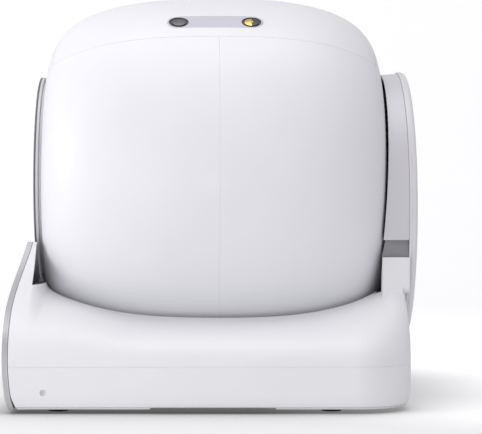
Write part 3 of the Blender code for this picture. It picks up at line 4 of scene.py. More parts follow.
import bmesh
import bpy
import numpy as np
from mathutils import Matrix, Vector


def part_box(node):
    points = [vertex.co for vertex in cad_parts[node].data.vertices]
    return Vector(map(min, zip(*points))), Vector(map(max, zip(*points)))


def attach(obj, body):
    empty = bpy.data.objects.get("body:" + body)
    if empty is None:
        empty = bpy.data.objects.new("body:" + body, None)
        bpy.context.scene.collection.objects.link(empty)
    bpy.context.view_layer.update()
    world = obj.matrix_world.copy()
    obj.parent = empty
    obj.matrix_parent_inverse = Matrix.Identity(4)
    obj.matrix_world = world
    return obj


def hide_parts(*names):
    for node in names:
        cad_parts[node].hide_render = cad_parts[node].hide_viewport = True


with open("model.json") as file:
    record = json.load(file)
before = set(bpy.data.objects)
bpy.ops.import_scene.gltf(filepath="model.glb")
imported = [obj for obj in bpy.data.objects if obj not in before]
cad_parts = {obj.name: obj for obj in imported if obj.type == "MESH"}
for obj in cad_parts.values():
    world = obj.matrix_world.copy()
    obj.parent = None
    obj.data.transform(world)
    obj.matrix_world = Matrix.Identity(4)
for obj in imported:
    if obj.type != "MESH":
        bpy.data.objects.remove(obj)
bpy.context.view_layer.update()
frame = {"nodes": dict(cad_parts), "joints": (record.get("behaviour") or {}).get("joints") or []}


# Drum half shells. Two deep gloss white mouldings that meet in an upright seam, together a barrel
# that turns about its long axis. Their top is thickened for the curved track that the hatch slides
# in, with the waste port through its floor. The front half ends in a short neck round the entrance.
drum_axis = next(joint for joint in frame["joints"] if joint["name"] == "drum_spin")["pos_m"]
SEAM_Y = drum_axis[1]
AXIS_Z = drum_axis[2]
SEAM_GAP = 0.0003
HALVES_GAP = 0.00012
SEAM_EASE = 0.0001
DRUM_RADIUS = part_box("hatch_panel")[1].z - AXIS_Z
NECK_REACH = SEAM_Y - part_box("drum_front_shell")[0].y
NECK_LENGTH = 0.0018
NECK_RADIUS = 0.134
DRUM_FRONT_LENGTH = NECK_REACH - NECK_LENGTH
DRUM_REAR_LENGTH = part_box("drum_rear_shell")[1].y - SEAM_Y
LENGTH_POWER = 2.4
GIRTH_POWER = 7.0
DRUM_WALL = 0.003
HUB_RADIUS = 0.012
REAR_FLAT_RADIUS = HUB_RADIUS * 3
DRUM_SIDES = 160
DRUM_TURNS = [2 * math.pi * step / DRUM_SIDES for step in range(DRUM_SIDES)]
DRUM_STATIONS = 40

HATCH_HALF_TURN = math.radians(42.2)
HATCH_TRAVEL = math.radians(70)
HATCH_CORNER_TURN = math.radians(6)
HATCH_CORNER_LENGTH = 0.045
HATCH_END_SHARE = 0.75
HATCH_SEAM = 0.00045
TRACK_DEPTH = 0.0054
PORT_HALF_TURN = math.radians(18)
PORT_HALF_LENGTH = 0.095
PAST = 0.004

DRUM_WHITE = (0.855, 0.858, 0.880)


def end_length(side):
    return DRUM_FRONT_LENGTH if side < 0 else DRUM_REAR_LENGTH


def station(share, side, room=0.0):
    """Aft place and radius on the barrel's outline at a share of its quarter sweep, grown by room."""
    sweep = share * math.pi / 2
    aft = (end_length(side) + room) * math.sin(sweep) ** (2 / LENGTH_POWER)
    radius = (DRUM_RADIUS + room) * math.cos(sweep) ** (2 / GIRTH_POWER)
    return side * aft, radius


def share_at_radius(radius, room=0.0):
    cosine = (radius / (DRUM_RADIUS + room)) ** (GIRTH_POWER / 2)
    return math.acos(cosine) / (math.pi / 2)


def radius_at(aft, room=0.0):
    share = min(abs(aft) / (end_length(aft) + room), 1.0)
    return (DRUM_RADIUS + room) * (1 - share ** LENGTH_POWER) ** (1 / GIRTH_POWER)


def spread(low, high, count):
    return [low + (high - low) * step / count for step in range(count + 1)]


def on_axis(aft, radius, turn):
    """The point at a radius about the axis; turn 0 is straight up and a quarter turn is +X."""
    return (radius * math.sin(turn), SEAM_Y + aft, AXIS_Z + radius * math.cos(turn))


def bridge(mesh_data, rings, wrap=False, capped=True):
    """Join rings of points with four-sided faces, then cap the ends or wrap them round."""
    made = [[mesh_data.verts.new(point) for point in ring] for ring in rings]
    count = len(made[0])
    pairs = list(zip(made, made[1:]))
    if wrap:
        pairs.append((made[-1], made[0]))
    for first, second in pairs:
        for index in range(count):
            following = (index + 1) % count
            mesh_data.faces.new((first[index], first[following], second[following], second[index]))
    if capped and not wrap:
        mesh_data.faces.new(list(reversed(made[0])))
        mesh_data.faces.new(made[-1])
    return made


WELD_WITHIN = 1e-7


def new_piece(name, mesh_data, finish=None):
    bmesh.ops.remove_doubles(mesh_data, verts=mesh_data.verts, dist=WELD_WITHIN)
    bmesh.ops.recalc_face_normals(mesh_data, faces=mesh_data.faces)
    mesh = bpy.data.meshes.new(name)
    mesh_data.to_mesh(mesh)
    mesh_data.free()
    piece = bpy.data.objects.new(name, mesh)
    bpy.context.scene.collection.objects.link(piece)
    if finish is not None:
        mesh.materials.append(finish)
    return piece


def combine(target, cutter, operation="DIFFERENCE"):
    """Apply one solid cut or join to target and remove the cutter."""
    step = target.modifiers.new("cut", "BOOLEAN")
    step.operation = operation
    step.solver = "MANIFOLD"
    step.object = cutter
    graph = bpy.context.evaluated_depsgraph_get()
    result = bpy.data.meshes.new_from_object(target.evaluated_get(graph))
    if len(result.polygons) == 0:
        step.solver = "EXACT"
        graph = bpy.context.evaluated_depsgraph_get()
        result = bpy.data.meshes.new_from_object(target.evaluated_get(graph))
    target.modifiers.clear()
    old = target.data
    target.data = result
    bpy.data.meshes.remove(old)
    bpy.data.objects.remove(cutter, do_unlink=True)


def skin(name, rings, finish=None, wrap=False):
    """A closed piece over a row of rings, capped at both ends or wrapped round."""
    mesh_data = bmesh.new()
    bridge(mesh_data, rings, wrap)
    return new_piece(name, mesh_data, finish)


def lathe(name, loop, finish):
    """Turn a closed loop of (aft, radius) points about the drum's axis."""
    rings = [[on_axis(aft, radius, turn) for aft, radius in loop] for turn in DRUM_TURNS]
    return skin(name, rings, finish, wrap=True)


def slab(name, places, turns, outer, inner, finish=None):
    """A curved plate over a grid of aft places and turns about the drum's axis."""
    mesh_data = bmesh.new()
    rings = []
    for aft in places:
        row = turns(aft)
        rings.append([on_axis(aft, outer(aft, turn), turn) for turn in row]
                     + [on_axis(aft, inner(aft, turn), turn) for turn in reversed(row)])
    made = bridge(mesh_data, rings, capped=False)
    for ring in (made[0], made[-1]):
        half = len(ring) // 2
        for index in range(half - 1):
            mesh_data.faces.new((ring[index], ring[index + 1], ring[-2 - index], ring[-1 - index]))
    return new_piece(name, mesh_data, finish)


def barrel_places(last_share, margin=0.0, steps=30):
    """Aft places on both sides of the seam out to a share of the sweep, closest near the ends."""
    ends = [station(last_share, side)[0] + side * margin for side in (-1, 1)]
    shares = [math.sin(math.pi / 2 * step / steps) for step in range(steps + 1)]
    return [ends[0] * share for share in reversed(shares)] + [ends[1] * share for share in shares[1:]]


def barrel_slab(name, places, low, high, outer_room, inner_room, finish=None, corner_turn=0.0):
    """A plate that follows the barrel between two turns, with its corners eased in plan."""
    count = max(2, round((high - low) * DRUM_SIDES / (2 * math.pi)))

    def turns(aft):
        end = abs(places[0]) if aft < 0 else places[-1]
        into = min(1.0, max(0.0, abs(aft) - (end - HATCH_CORNER_LENGTH)) / HATCH_CORNER_LENGTH)
        trim = corner_turn * (1 - math.sqrt(1 - into * into))
        return spread(low + trim, high - trim, count)

    return slab(name, places, turns, lambda aft, turn: radius_at(aft, outer_room),
                lambda aft, turn: radius_at(aft, inner_room), finish)


def shade(piece, angle=32):
    """Smooth shading that breaks at edges sharper than the angle."""
    piece.data.shade_smooth()
    piece.data.set_sharp_from_angle(angle=math.radians(angle))
    return piece


ON_BARREL_WITHIN = 0.00012
FACING_SHARE = 0.9


def shade_on_barrel(piece, rooms):
    """Give faces that lie on the barrel, grown by any of the rooms, the barrel's own true normals."""
    shade(piece)
    mesh = piece.data
    loops = np.zeros(len(mesh.loops), dtype=np.int32)
    mesh.loops.foreach_get("vertex_index", loops)
    places = np.zeros(len(mesh.vertices) * 3)
    mesh.vertices.foreach_get("co", places)
    places = places.reshape(-1, 3)[loops]
    normals = np.zeros(len(mesh.loops) * 3, dtype=np.float32)
    mesh.corner_normals.foreach_get("vector", normals)
    normals = normals.reshape(-1, 3)
    faces = np.zeros(len(mesh.polygons) * 3, dtype=np.float32)
    mesh.polygons.foreach_get("normal", faces)
    totals = np.zeros(len(mesh.polygons), dtype=np.int32)
    mesh.polygons.foreach_get("loop_total", totals)
    owner = np.repeat(np.arange(len(totals)), totals)
    faces = faces.reshape(-1, 3)[owner]
    aft = places[:, 1] - SEAM_Y
    outward = np.stack([places[:, 0], places[:, 2] - AXIS_Z], axis=1)
    radius = np.linalg.norm(outward, axis=1) + 1e-9
    outward /= radius[:, None]
    for room in rooms:
        length = np.where(aft < 0, DRUM_FRONT_LENGTH, DRUM_REAR_LENGTH) + room
        girth = DRUM_RADIUS + room
        share = np.abs(aft) / length
        along = LENGTH_POWER / length * share ** (LENGTH_POWER - 1) * np.sign(aft)
        across = GIRTH_POWER / girth * (radius / girth) ** (GIRTH_POWER - 1)
        value = share ** LENGTH_POWER + (radius / girth) ** GIRTH_POWER - 1
        steepness = np.hypot(along, across)
        true = np.stack([outward[:, 0] * across, along, outward[:, 1] * across], axis=1) / steepness[:, None]
        facing = (true * faces).sum(axis=1)
        near = np.abs(value) / steepness < ON_BARREL_WITHIN
        off = np.zeros(len(totals), dtype=np.int32)
        np.add.at(off, owner, ~near)
        fits = (off[owner] == 0) & (np.abs(facing) > FACING_SHARE)
        normals[fits] = true[fits] * np.sign(facing[fits])[:, None]
    mesh.normals_split_custom_set([tuple(normal) for normal in normals.tolist()])


def new_finish(name):
    made = bpy.data.materials.new(name)
    made.use_nodes = True
    return made, made.node_tree.nodes["Principled BSDF"]


def add_node(made, kind, **sockets):
    """Add a shader node and set its sockets; an underscore in a socket's name stands for a space."""
    added = made.node_tree.nodes.new("ShaderNode" + kind)
    for socket, value in sockets.items():
        added.inputs[socket.replace("_", " ")].default_value = value
    return added


def wire(made, giver, outlet, taker, inlet):
    made.node_tree.links.new(giver.outputs[outlet], taker.inputs[inlet])


def two_tones(made, low_place, low, high_place, high):
    """A ramp from one colour to another between two places on the scale."""
    tone = add_node(made, "ValToRGB")
    for stop, place, colour in zip(tone.color_ramp.elements, (low_place, high_place), (low, high)):
        stop.position = place
        stop.color = (*colour, 1.0)
    return tone


def plastic(name, colour, roughness, grain=1400.0, relief=0.00002, tint=0.03, coat=0.0, coat_roughness=0.12):
    """Moulded plastic: a faint skin grain, slow drifts of shade and gloss, and rubbed edges."""
    made, shader = new_finish(name)
    shader.inputs["Coat Weight"].default_value = coat
    shader.inputs["Coat Roughness"].default_value = coat_roughness
    place = add_node(made, "TexCoord")

    flow = add_node(made, "TexNoise", Scale=7.0, Detail=3.0)
    tone = two_tones(made, 0.35, [channel * (1 - tint) for channel in colour], 0.65, colour)
    wire(made, place, "Object", flow, "Vector")
    wire(made, flow, "Fac", tone, "Fac")

    geometry = add_node(made, "NewGeometry")
    rub = add_node(made, "MapRange", From_Min=0.53, From_Max=0.62, To_Max=0.25)
    worn = add_node(made, "Mix")
    worn.data_type = "RGBA"
    worn.inputs["B"].default_value = (*[channel + (1 - channel) * 0.25 for channel in colour], 1.0)
    wire(made, geometry, "Pointiness", rub, "Value")
    wire(made, rub, "Result", worn, "Factor")
    wire(made, tone, "Color", worn, "A")
    wire(made, worn, "Result", shader, "Base Color")

    handled = add_node(made, "TexNoise", Scale=32.0, Detail=6.0)
    gloss = add_node(made, "MapRange", To_Min=roughness - 0.05, To_Max=roughness + 0.05)
    wire(made, place, "Object", handled, "Vector")
    wire(made, handled, "Fac", gloss, "Value")
    wire(made, gloss, "Result", shader, "Roughness")

    skin = add_node(made, "TexNoise", Scale=grain, Detail=2.0)
    raised = add_node(made, "Bump", Strength=0.5, Distance=relief)
    wire(made, place, "Object", skin, "Vector")
    wire(made, skin, "Fac", raised, "Height")
    wire(made, raised, "Normal", shader, "Normal")
    return made


def drum_profile(side):
    """Closed (aft, radius) loop through the wall of one half, from the seam round its end and back."""
    edge = side * HALVES_GAP / 2
    end_radius = NECK_RADIUS if side < 0 else REAR_FLAT_RADIUS
    last = share_at_radius(end_radius)
    outer = [(edge, DRUM_RADIUS - SEAM_EASE), (edge + side * SEAM_EASE, DRUM_RADIUS)]
    outer += [station(last * step / DRUM_STATIONS, side) for step in range(2, DRUM_STATIONS + 1)]
    if side < 0:
        mouth = NECK_RADIUS - DRUM_WALL
        outer += [(SEAM_EASE - NECK_REACH, NECK_RADIUS), (-NECK_REACH, NECK_RADIUS - SEAM_EASE),
                  (-NECK_REACH, mouth)]
        last = share_at_radius(mouth, -DRUM_WALL)
    else:
        outer += [(DRUM_REAR_LENGTH, HUB_RADIUS), (DRUM_REAR_LENGTH - DRUM_WALL, HUB_RADIUS)]
        last = share_at_radius(REAR_FLAT_RADIUS, -DRUM_WALL)
    inner = [station(last * step / DRUM_STATIONS, side, -DRUM_WALL) for step in range(2, DRUM_STATIONS + 1)]
    return outer + list(reversed(inner)) + [(edge, DRUM_RADIUS - DRUM_WALL)]


def half_of(name, side):
    """A block over everything on the other side of the seam, less half of the seam's gap."""
    reach = DRUM_RADIUS * 3
    low, high = sorted((side * HALVES_GAP / 2, -side * reach))
    square = ((-reach, -reach), (reach, -reach), (reach, reach), (-reach, reach))
    return skin(name, [[(x, SEAM_Y + aft, z) for x, z in square] for aft in (low, high)])


def drum_half(name, side, finish):
    shell = lathe(name, drum_profile(side), finish)
    low = -(HATCH_HALF_TURN + HATCH_TRAVEL)
    backing = barrel_slab("backing", barrel_places(HATCH_END_SHARE, DRUM_WALL), low - HATCH_CORNER_TURN,
                          HATCH_HALF_TURN + HATCH_CORNER_TURN, -DRUM_WALL / 2, -(TRACK_DEPTH + DRUM_WALL))
    combine(backing, half_of("other_half", side))
    combine(shell, backing, "UNION")
    seam_turn = HATCH_SEAM / DRUM_RADIUS
    track = barrel_slab("track", barrel_places(HATCH_END_SHARE, SEAM_GAP), low - seam_turn,
                        HATCH_HALF_TURN + seam_turn, PAST, -TRACK_DEPTH, corner_turn=HATCH_CORNER_TURN)
    combine(shell, track)
    port = slab("port", spread(-PORT_HALF_LENGTH, PORT_HALF_LENGTH, 8),
                lambda aft: spread(-PORT_HALF_TURN, PORT_HALF_TURN, 16),
                lambda aft, turn: DRUM_RADIUS + PAST, lambda aft, turn: DRUM_RADIUS - TRACK_DEPTH * 4)
    combine(shell, port)
    shade_on_barrel(shell, (0.0, -TRACK_DEPTH, -DRUM_WALL))
    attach(shell, "drum")
    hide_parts(name)


drum_finish = plastic("gloss_white_drum", DRUM_WHITE, 0.46, coat=0.06, coat_roughness=0.3)
for node, side in (("drum_front_shell", -1), ("drum_rear_shell", 1)):
    drum_half(node, side, drum_finish)


# Hatch. A curved gloss white panel flush with the drum, moulded in one piece. It slides round the
# drum in the track and uncovers the waste port when the drum is turned over. Near its right edge
# a capsule-shaped pocket takes the catch strip.
HATCH_WALL = 0.0045
HATCH_EDGE = 0.0005
POCKET_LIP_DEPTH = 0.0008
CATCH_TURN = math.radians(34.2)
CATCH_CENTRE = -0.005
CATCH_LENGTH = 0.122
CATCH_WIDTH = 0.030
CATCH_FLOOR = 0.0012
CATCH_SINK = 0.0008


def capsule(length, width, steps=16):
    radius = width / 2
    straight = length / 2 - radius
    points = []
    for end in (1, -1):
        for step in range(steps + 1):
            turn = math.pi * step / steps - math.pi / 2
            points.append((end * (straight + radius * math.cos(turn)), end * radius * math.sin(turn)))
    return points


def on_hatch(along, across, radius):
    """A point over the catch strip: along runs aft, across runs round the drum."""
    return on_axis(CATCH_CENTRE + along, radius, CATCH_TURN + across / DRUM_RADIUS)


def hatch_plug(name, layers, finish=None):
    """A plug square to the drum, from a stack of (outline, radius) layers wrapped on it."""
    return skin(name, [[on_hatch(along, across, radius) for along, across in outline]
                       for outline, radius in layers], finish)


FINE_SHARE = 0.1


def ease_edges(piece, width, segments=2, angle=38, fine_level=None):
    """Break sharp edges with a small round, as a moulding has, and those on the fine level only a little."""
    mesh_data = bmesh.new()
    mesh_data.from_mesh(piece.data)
    weight = mesh_data.edges.layers.float.new("bevel_weight_edge")
    for edge in mesh_data.edges:
        if len(edge.link_faces) == 2 and edge.calc_face_angle(0.0) > math.radians(angle):
            fine = fine_level is not None and all(abs(vert.co.z - fine_level) < SEAM_GAP * 2
                                                  for vert in edge.verts)
            edge[weight] = FINE_SHARE if fine else 1.0
    mesh_data.to_mesh(piece.data)
    mesh_data.free()
    bevel = piece.modifiers.new("eased_edges", "BEVEL")
    bevel.width = width
    bevel.segments = segments
    bevel.limit_method = "WEIGHT"
    bevel.use_clamp_overlap = True
    level = piece.modifiers.new("flat_faces", "WEIGHTED_NORMAL")
    level.keep_sharp = True


def tint_faces(piece, finish, chosen):
    """Give the piece's chosen faces a finish of their own."""
    piece.data.materials.append(finish)
    for face in piece.data.polygons:
        if chosen(face):
            face.material_index = len(piece.data.materials) - 1


hatch = barrel_slab("hatch_panel", barrel_places(HATCH_END_SHARE), -HATCH_HALF_TURN, HATCH_HALF_TURN,
                    0.0, -HATCH_WALL, drum_finish, HATCH_CORNER_TURN)
pocket = capsule(CATCH_LENGTH, CATCH_WIDTH)
pocket_lip = capsule(CATCH_LENGTH + 2 * HATCH_EDGE, CATCH_WIDTH + 2 * HATCH_EDGE)
combine(hatch, hatch_plug("pocket", [(pocket, DRUM_RADIUS - HATCH_WALL + CATCH_FLOOR),
                                     (pocket, DRUM_RADIUS - POCKET_LIP_DEPTH), (pocket_lip, DRUM_RADIUS),
                                     (pocket_lip, DRUM_RADIUS + PAST)]))
shade_on_barrel(hatch, (0.0, -HATCH_WALL))
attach(hatch, "hatch")
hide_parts("hatch_panel")


# Catch strip. A pale lavender-grey capsule pressed into the hatch's pocket, a little below its
# surface, with a round well near each end. The wells hold the two studs that the catch in the base
# takes hold of: the front one dark steel and the rear one brass, half hidden by a black shutter.
STRIP_EASE = 0.0005
WELL_RADIUS = 0.0125
STUD_RADIUS = 0.0092
STUD_HEIGHT = 0.0016
STUD_SIDE_SHARE = 0.6
CATCH_GREY = (0.600, 0.588, 0.650)
strip_top = DRUM_RADIUS - CATCH_SINK
strip_low = DRUM_RADIUS - HATCH_WALL + CATCH_FLOOR + SEAM_GAP
well_floor = strip_low + CATCH_FLOOR / 2
well_offset = CATCH_LENGTH / 2 - CATCH_WIDTH / 2


def ring_points(radius, centre, sides=40):
    return [(centre[0] + radius * math.sin(2 * math.pi * step / sides),
             centre[1] + radius * math.cos(2 * math.pi * step / sides)) for step in range(sides)]


strip_finish = plastic("lavender_grey_strip", CATCH_GREY, 0.42)
fitted = capsule(CATCH_LENGTH - 2 * SEAM_GAP, CATCH_WIDTH - 2 * SEAM_GAP)
eased = capsule(CATCH_LENGTH - 2 * SEAM_GAP - 2 * STRIP_EASE, CATCH_WIDTH - 2 * SEAM_GAP - 2 * STRIP_EASE)
strip = hatch_plug("catch_strip", [(fitted, strip_low), (fitted, strip_top - STRIP_EASE), (eased, strip_top)],
                   strip_finish)
for side in (-1, 1):
    well = ring_points(WELL_RADIUS, (side * well_offset, 0.0))
    mouth = ring_points(WELL_RADIUS + STRIP_EASE, (side * well_offset, 0.0))
    combine(strip, hatch_plug("well", [(well, well_floor), (well, strip_top - STRIP_EASE), (mouth, strip_top),
                                       (mouth, strip_top + PAST)]))


def in_well(face):
    """Whether a face of the strip lies in one of its wells."""
    middle = face.center
    across = (math.atan2(middle.x, middle.z - AXIS_Z) - CATCH_TURN) * DRUM_RADIUS
    along = abs(middle.y - SEAM_Y - CATCH_CENTRE) - well_offset
    sunk = math.hypot(middle.x, middle.z - AXIS_Z) < strip_top - STRIP_EASE
    return sunk and math.hypot(along, across) < WELL_RADIUS + STRIP_EASE


tint_faces(strip, plastic("well_black", (0.055, 0.055, 0.060), 0.40), in_well)
shade(strip)
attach(strip, "hatch")
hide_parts("catch_strip")


def turned_metal(name, colour, roughness, lines=900.0):
    """Machined metal: fine tool marks and a slow drift of shade and gloss."""
    made, shader = new_finish(name)
    shader.inputs["Metallic"].default_value = 1.0
    place = add_node(made, "TexCoord")
    marks = add_node(made, "TexNoise", Scale=lines, Detail=3.0)
    tone = two_tones(made, 0.3, [channel * 0.8 for channel in colour], 0.7, colour)
    gloss = add_node(made, "MapRange", To_Min=roughness - 0.06, To_Max=roughness + 0.08)
    raised = add_node(made, "Bump", Strength=0.3, Distance=0.00002)
    wire(made, place, "Object", marks, "Vector")
    wire(made, marks, "Fac", tone, "Fac")
    wire(made, tone, "Color", shader, "Base Color")
    wire(made, marks, "Fac", gloss, "Value")
    wire(made, gloss, "Result", shader, "Roughness")
    wire(made, marks, "Fac", raised, "Height")
    wire(made, raised, "Normal", shader, "Normal")
    return made


stud_finishes = {"catch_stud_front": turned_metal("stud_steel", (0.14, 0.14, 0.15), 0.42),
                 "catch_stud_rear": turned_metal("stud_brass", (0.80, 0.56, 0.17), 0.26)}
shutter_black = plastic("shutter_black", (0.030, 0.030, 0.033), 0.35)
for node, side in (("catch_stud_front", -1), ("catch_stud_rear", 1)):
    centre = (side * well_offset, 0.0)
    low = well_floor + SEAM_GAP
    straight = STUD_HEIGHT * STUD_SIDE_SHARE
    dome = [(ring_points(STUD_RADIUS, centre), low)]
    for tip in spread(0.0, math.pi / 2, 6)[:-1]:
        dome.append((ring_points(STUD_RADIUS * math.cos(tip), centre),
                     low + straight + (STUD_HEIGHT - straight) * math.sin(tip)))
    stud = shade(hatch_plug(node, dome, stud_finishes[node]))
    if side > 0:
        tint_faces(stud, shutter_black, lambda face: face.center.y - SEAM_Y - CATCH_CENTRE > well_offset)
    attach(stud, "hatch")
    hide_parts(node)


# Entrance rings. Two flat rings screwed to the drum's neck: a satin grey one behind, and a soft
# dark lip in front that seals against the base. Both are round-edged and turn with the drum.
RING_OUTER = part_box("entrance_ring")[1].x
RING_OPENING = 0.121
RING_EDGE = 0.0009


def rounded_ring(front, back, outer, inner, edge):
    """Closed (aft, radius) loop of a flat ring with all four edges rounded."""
    loop = []
    corners = ((front, outer, 2.0), (back, outer, 1.0), (back, inner, 0.0), (front, inner, -1.0))
    for aft, radius, start in corners:
        aft_in = aft + edge if aft == front else aft - edge
        radius_in = radius - edge if radius == outer else radius + edge
        for step in range(5):
            turn = (start - 0.25 * step) * math.pi / 2
            loop.append((aft_in + edge * math.cos(turn), radius_in + edge * math.sin(turn)))
    return loop


for node, colour, roughness, slot_name in (("entrance_ring", (0.60, 0.61, 0.63), 0.36, "satin_silver"),
                                           ("entrance_lip", (0.16, 0.16, 0.175), 0.50, "lip_grey")):
    low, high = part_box(node)
    loop = rounded_ring(low.y - SEAM_Y, high.y - SEAM_Y, RING_OUTER, RING_OPENING, RING_EDGE)
    ring = shade(lathe(node, loop, plastic(node + "_finish", colour, roughness)), 60)
    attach(ring, "drum")
    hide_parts(node)


# Liner and sieve. The liner is a light grey tray that the litter lies in, clipped to the lower wall
# of the drum. The sieve is a slotted grille across one corner, and lets clean litter fall back.
LINER_HALF_TURN = math.radians(57)
LINER_WALL = 0.0025
LINER_END_SHARE = 0.7
LINER_ROOM = 0.0008
LINER_ROOMS = (-(DRUM_WALL + LINER_ROOM), -(DRUM_WALL + LINER_ROOM + LINER_WALL))
SIEVE_TURN = math.radians(75)
SIEVE_HALF_TURN = math.radians(22.5)
SIEVE_SLOT_HALF_TURN = math.radians(16.2)
SIEVE_WALL = 0.004
SIEVE_END_SHARE = 0.51
SIEVE_SLOTS = 14
SIEVE_MARGIN = 0.015
SIEVE_SLOT_SHARE = 0.6
SIEVE_EDGE = 0.0006

liner = barrel_slab("litter_liner", barrel_places(LINER_END_SHARE), math.pi - LINER_HALF_TURN,
                    math.pi + LINER_HALF_TURN, *LINER_ROOMS,
                    plastic("liner_grey", (0.52, 0.535, 0.56), 0.48, grain=700.0, relief=0.00005))
shade_on_barrel(liner, LINER_ROOMS)
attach(liner, "drum")
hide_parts("litter_liner")


def sieve_chord(aft, turn):
    rim = radius_at(aft, -(DRUM_WALL + 2 * SEAM_GAP))
    return rim * math.cos(SIEVE_HALF_TURN) / math.cos(turn - SIEVE_TURN)


sieve_places = barrel_places(SIEVE_END_SHARE, steps=8)
sieve = slab("sieve_grille", sieve_places,
             lambda aft: spread(SIEVE_TURN - SIEVE_HALF_TURN, SIEVE_TURN + SIEVE_HALF_TURN, 1), sieve_chord,
             lambda aft, turn: sieve_chord(aft, turn) - SIEVE_WALL,
             plastic("sieve_grey", (0.36, 0.37, 0.41), 0.46, grain=700.0, relief=0.00005))
middles = spread(sieve_places[0] + SIEVE_MARGIN, sieve_places[-1] - SIEVE_MARGIN, SIEVE_SLOTS + 1)[1:-1]
slot_half = (middles[1] - middles[0]) * SIEVE_SLOT_SHARE / 2
slot_data = bmesh.new()
for middle in middles:
    low, high = SIEVE_TURN - SIEVE_SLOT_HALF_TURN, SIEVE_TURN + SIEVE_SLOT_HALF_TURN
    bridge(slot_data, [[on_axis(aft, DRUM_RADIUS, low), on_axis(aft, DRUM_RADIUS, high),
                        on_axis(aft, DRUM_RADIUS / 2, high), on_axis(aft, DRUM_RADIUS / 2, low)]
                       for aft in (middle - slot_half, middle + slot_half)])
combine(sieve, new_piece("slots", slot_data))
shade(sieve)
ease_edges(sieve, SIEVE_EDGE)
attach(sieve, "drum")
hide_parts("sieve_grille")


# Upper base. One large satin white moulding: a swept shoulder on each side runs up to a rim under
# the drum, ears rise beside the entrance in front, and an upright at the back carries the housing.
# It sits on the pan below with a fine parting line.
TRIM_FRONT = SEAM_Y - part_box("front_trim")[0].y
TRIM_LAP = 0.0024
BASE_FRONT = SEAM_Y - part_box("base_pan")[0].y - TRIM_LAP
BASE_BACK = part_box("base_pan")[1].y - SEAM_Y
HOUSING_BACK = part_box("rear_housing")[1].y - SEAM_Y
BASE_HALF_WIDTH = -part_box("base_pan")[0].x
BASE_CORNER = 0.070
BASE_WALL = 0.003
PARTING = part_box("base_shell")[0].z
EAR_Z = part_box("base_shell")[1].z
COLLAR_RADIUS = RING_OUTER + 0.0035
EAR_X = COLLAR_RADIUS + 0.0065
EAR_DEPTH = 0.0215
EAR_BACK = BASE_FRONT + TRIM_LAP - EAR_DEPTH
EAR_BLEND_LENGTH = 0.016
SWEEP_LENGTH = 0.150
SWEEP_END = EAR_BACK - SWEEP_LENGTH
LEDGE_DEPTH = 0.015
LEDGE_BACK = EAR_BACK - LEDGE_DEPTH
LEDGE_Z = AXIS_Z - 0.128
EAR_LEVERS = (PARTING + 0.073, EAR_X + 0.055)
RIM_X = DRUM_RADIUS - 0.0565
RIM_Z = AXIS_Z - 0.170
RIM_END_INSET = 0.047
RIM_END_RISE = 0.040
RIM_POWER = 2.8
RIM_LEVER_REACH = 0.070
RIM_RUN_IN = 0.030
RIM_SLOPE = 0.2
SIDE_LEVER_Z = PARTING + 0.045
DRUM_ROOM = 0.0083
HOUSING_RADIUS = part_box("rear_housing")[1].x
HOUSING_CENTRE_Z = AXIS_Z - 0.033
NOTCH_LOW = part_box("rear_housing")[0].z
HOUSING_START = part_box("rear_housing")[0].y - SEAM_Y
UPRIGHT_TOP = NOTCH_LOW - SEAM_GAP
UPRIGHT_NECK_Z = NOTCH_LOW - 0.029
UPRIGHT_BEND_Z = NOTCH_LOW - 0.045
UPRIGHT_SWEEP = (HOUSING_RADIUS + 0.007, NOTCH_LOW - 0.052)
UPRIGHT_FOOT = (HOUSING_RADIUS + 0.027, NOTCH_LOW - 0.062)
CHEEK_EASE = 0.008
HAND_RECESS_DEPTH = 0.014
FACE_LEAN = ((0.0066, 0.0068), (0.020, 0.0036), (0.034, 0.0018), (0.050, 0.0005),
             (0.064, 0.0), (0.122, 0.0), (0.135, 0.0010), (0.148, 0.0030),
             (0.160, 0.0056), (0.172, 0.0086), (0.185, 0.0120), (0.198, 0.0152))
LEAN_CUT_WITHIN = 1e-6
SHOULDER_STEPS = 28
BASE_EASE = 0.0007
BASE_WHITE = (0.845, 0.847, 0.862)


def half_width_at(aft, inset):
    """Half width of the base in plan: straight sides and rounded rear corners."""
    half = BASE_HALF_WIDTH - inset
    start = BASE_BACK - BASE_CORNER
    radius = BASE_CORNER - inset
    if aft <= start:
        return half
    into = min(aft - start, radius)
    return half - radius + math.sqrt(max(0.0, radius * radius - into * into))


def bezier(points, share):
    back = 1 - share
    weights = (back ** 3, 3 * back * back * share, 3 * back * share * share, share ** 3)
    return tuple(sum(weight * point[axis] for weight, point in zip(weights, points)) for axis in (0, 1))


def fade_from_front(aft, length):
    """1 at the back of the front frame and before it, fading smoothly to 0 over a length behind it."""
    into = min(max((length - EAR_BACK - aft) / length, 0.0), 1.0)
    return into * into * (3 - 2 * into)


def between(first, second, share):
    return tuple(low + (high - low) * share for low, high in zip(first, second))


def shoulder_curve(aft, bottom, inset):
    """Right half of the upper base's section: side wall and rounded shoulder, in to the rim."""
    half_width = half_width_at(aft, inset)
    share = min(abs(aft) / end_length(aft), 1.0) ** RIM_POWER
    rim = (RIM_X - RIM_END_INSET * share, RIM_Z + RIM_END_RISE * share)
    sweep = fade_from_front(aft, SWEEP_LENGTH)
    side_z = SIDE_LEVER_Z + (EAR_LEVERS[0] - SIDE_LEVER_Z) * sweep
    crown = between((rim[0] + RIM_LEVER_REACH, rim[1] - RIM_LEVER_REACH * RIM_SLOPE),
                    (EAR_LEVERS[1], EAR_LEVERS[0]), sweep)
    tip = between(rim, (EAR_X - inset, EAR_Z), fade_from_front(aft, EAR_BLEND_LENGTH))
    levers = ((half_width, PARTING), (half_width, side_z - inset), (crown[0], crown[1] - inset),
              (tip[0], tip[1] - inset))
    curve = [bezier(levers, step / SHOULDER_STEPS) for step in range(1, SHOULDER_STEPS + 1)]
    return [(half_width, bottom)] + curve


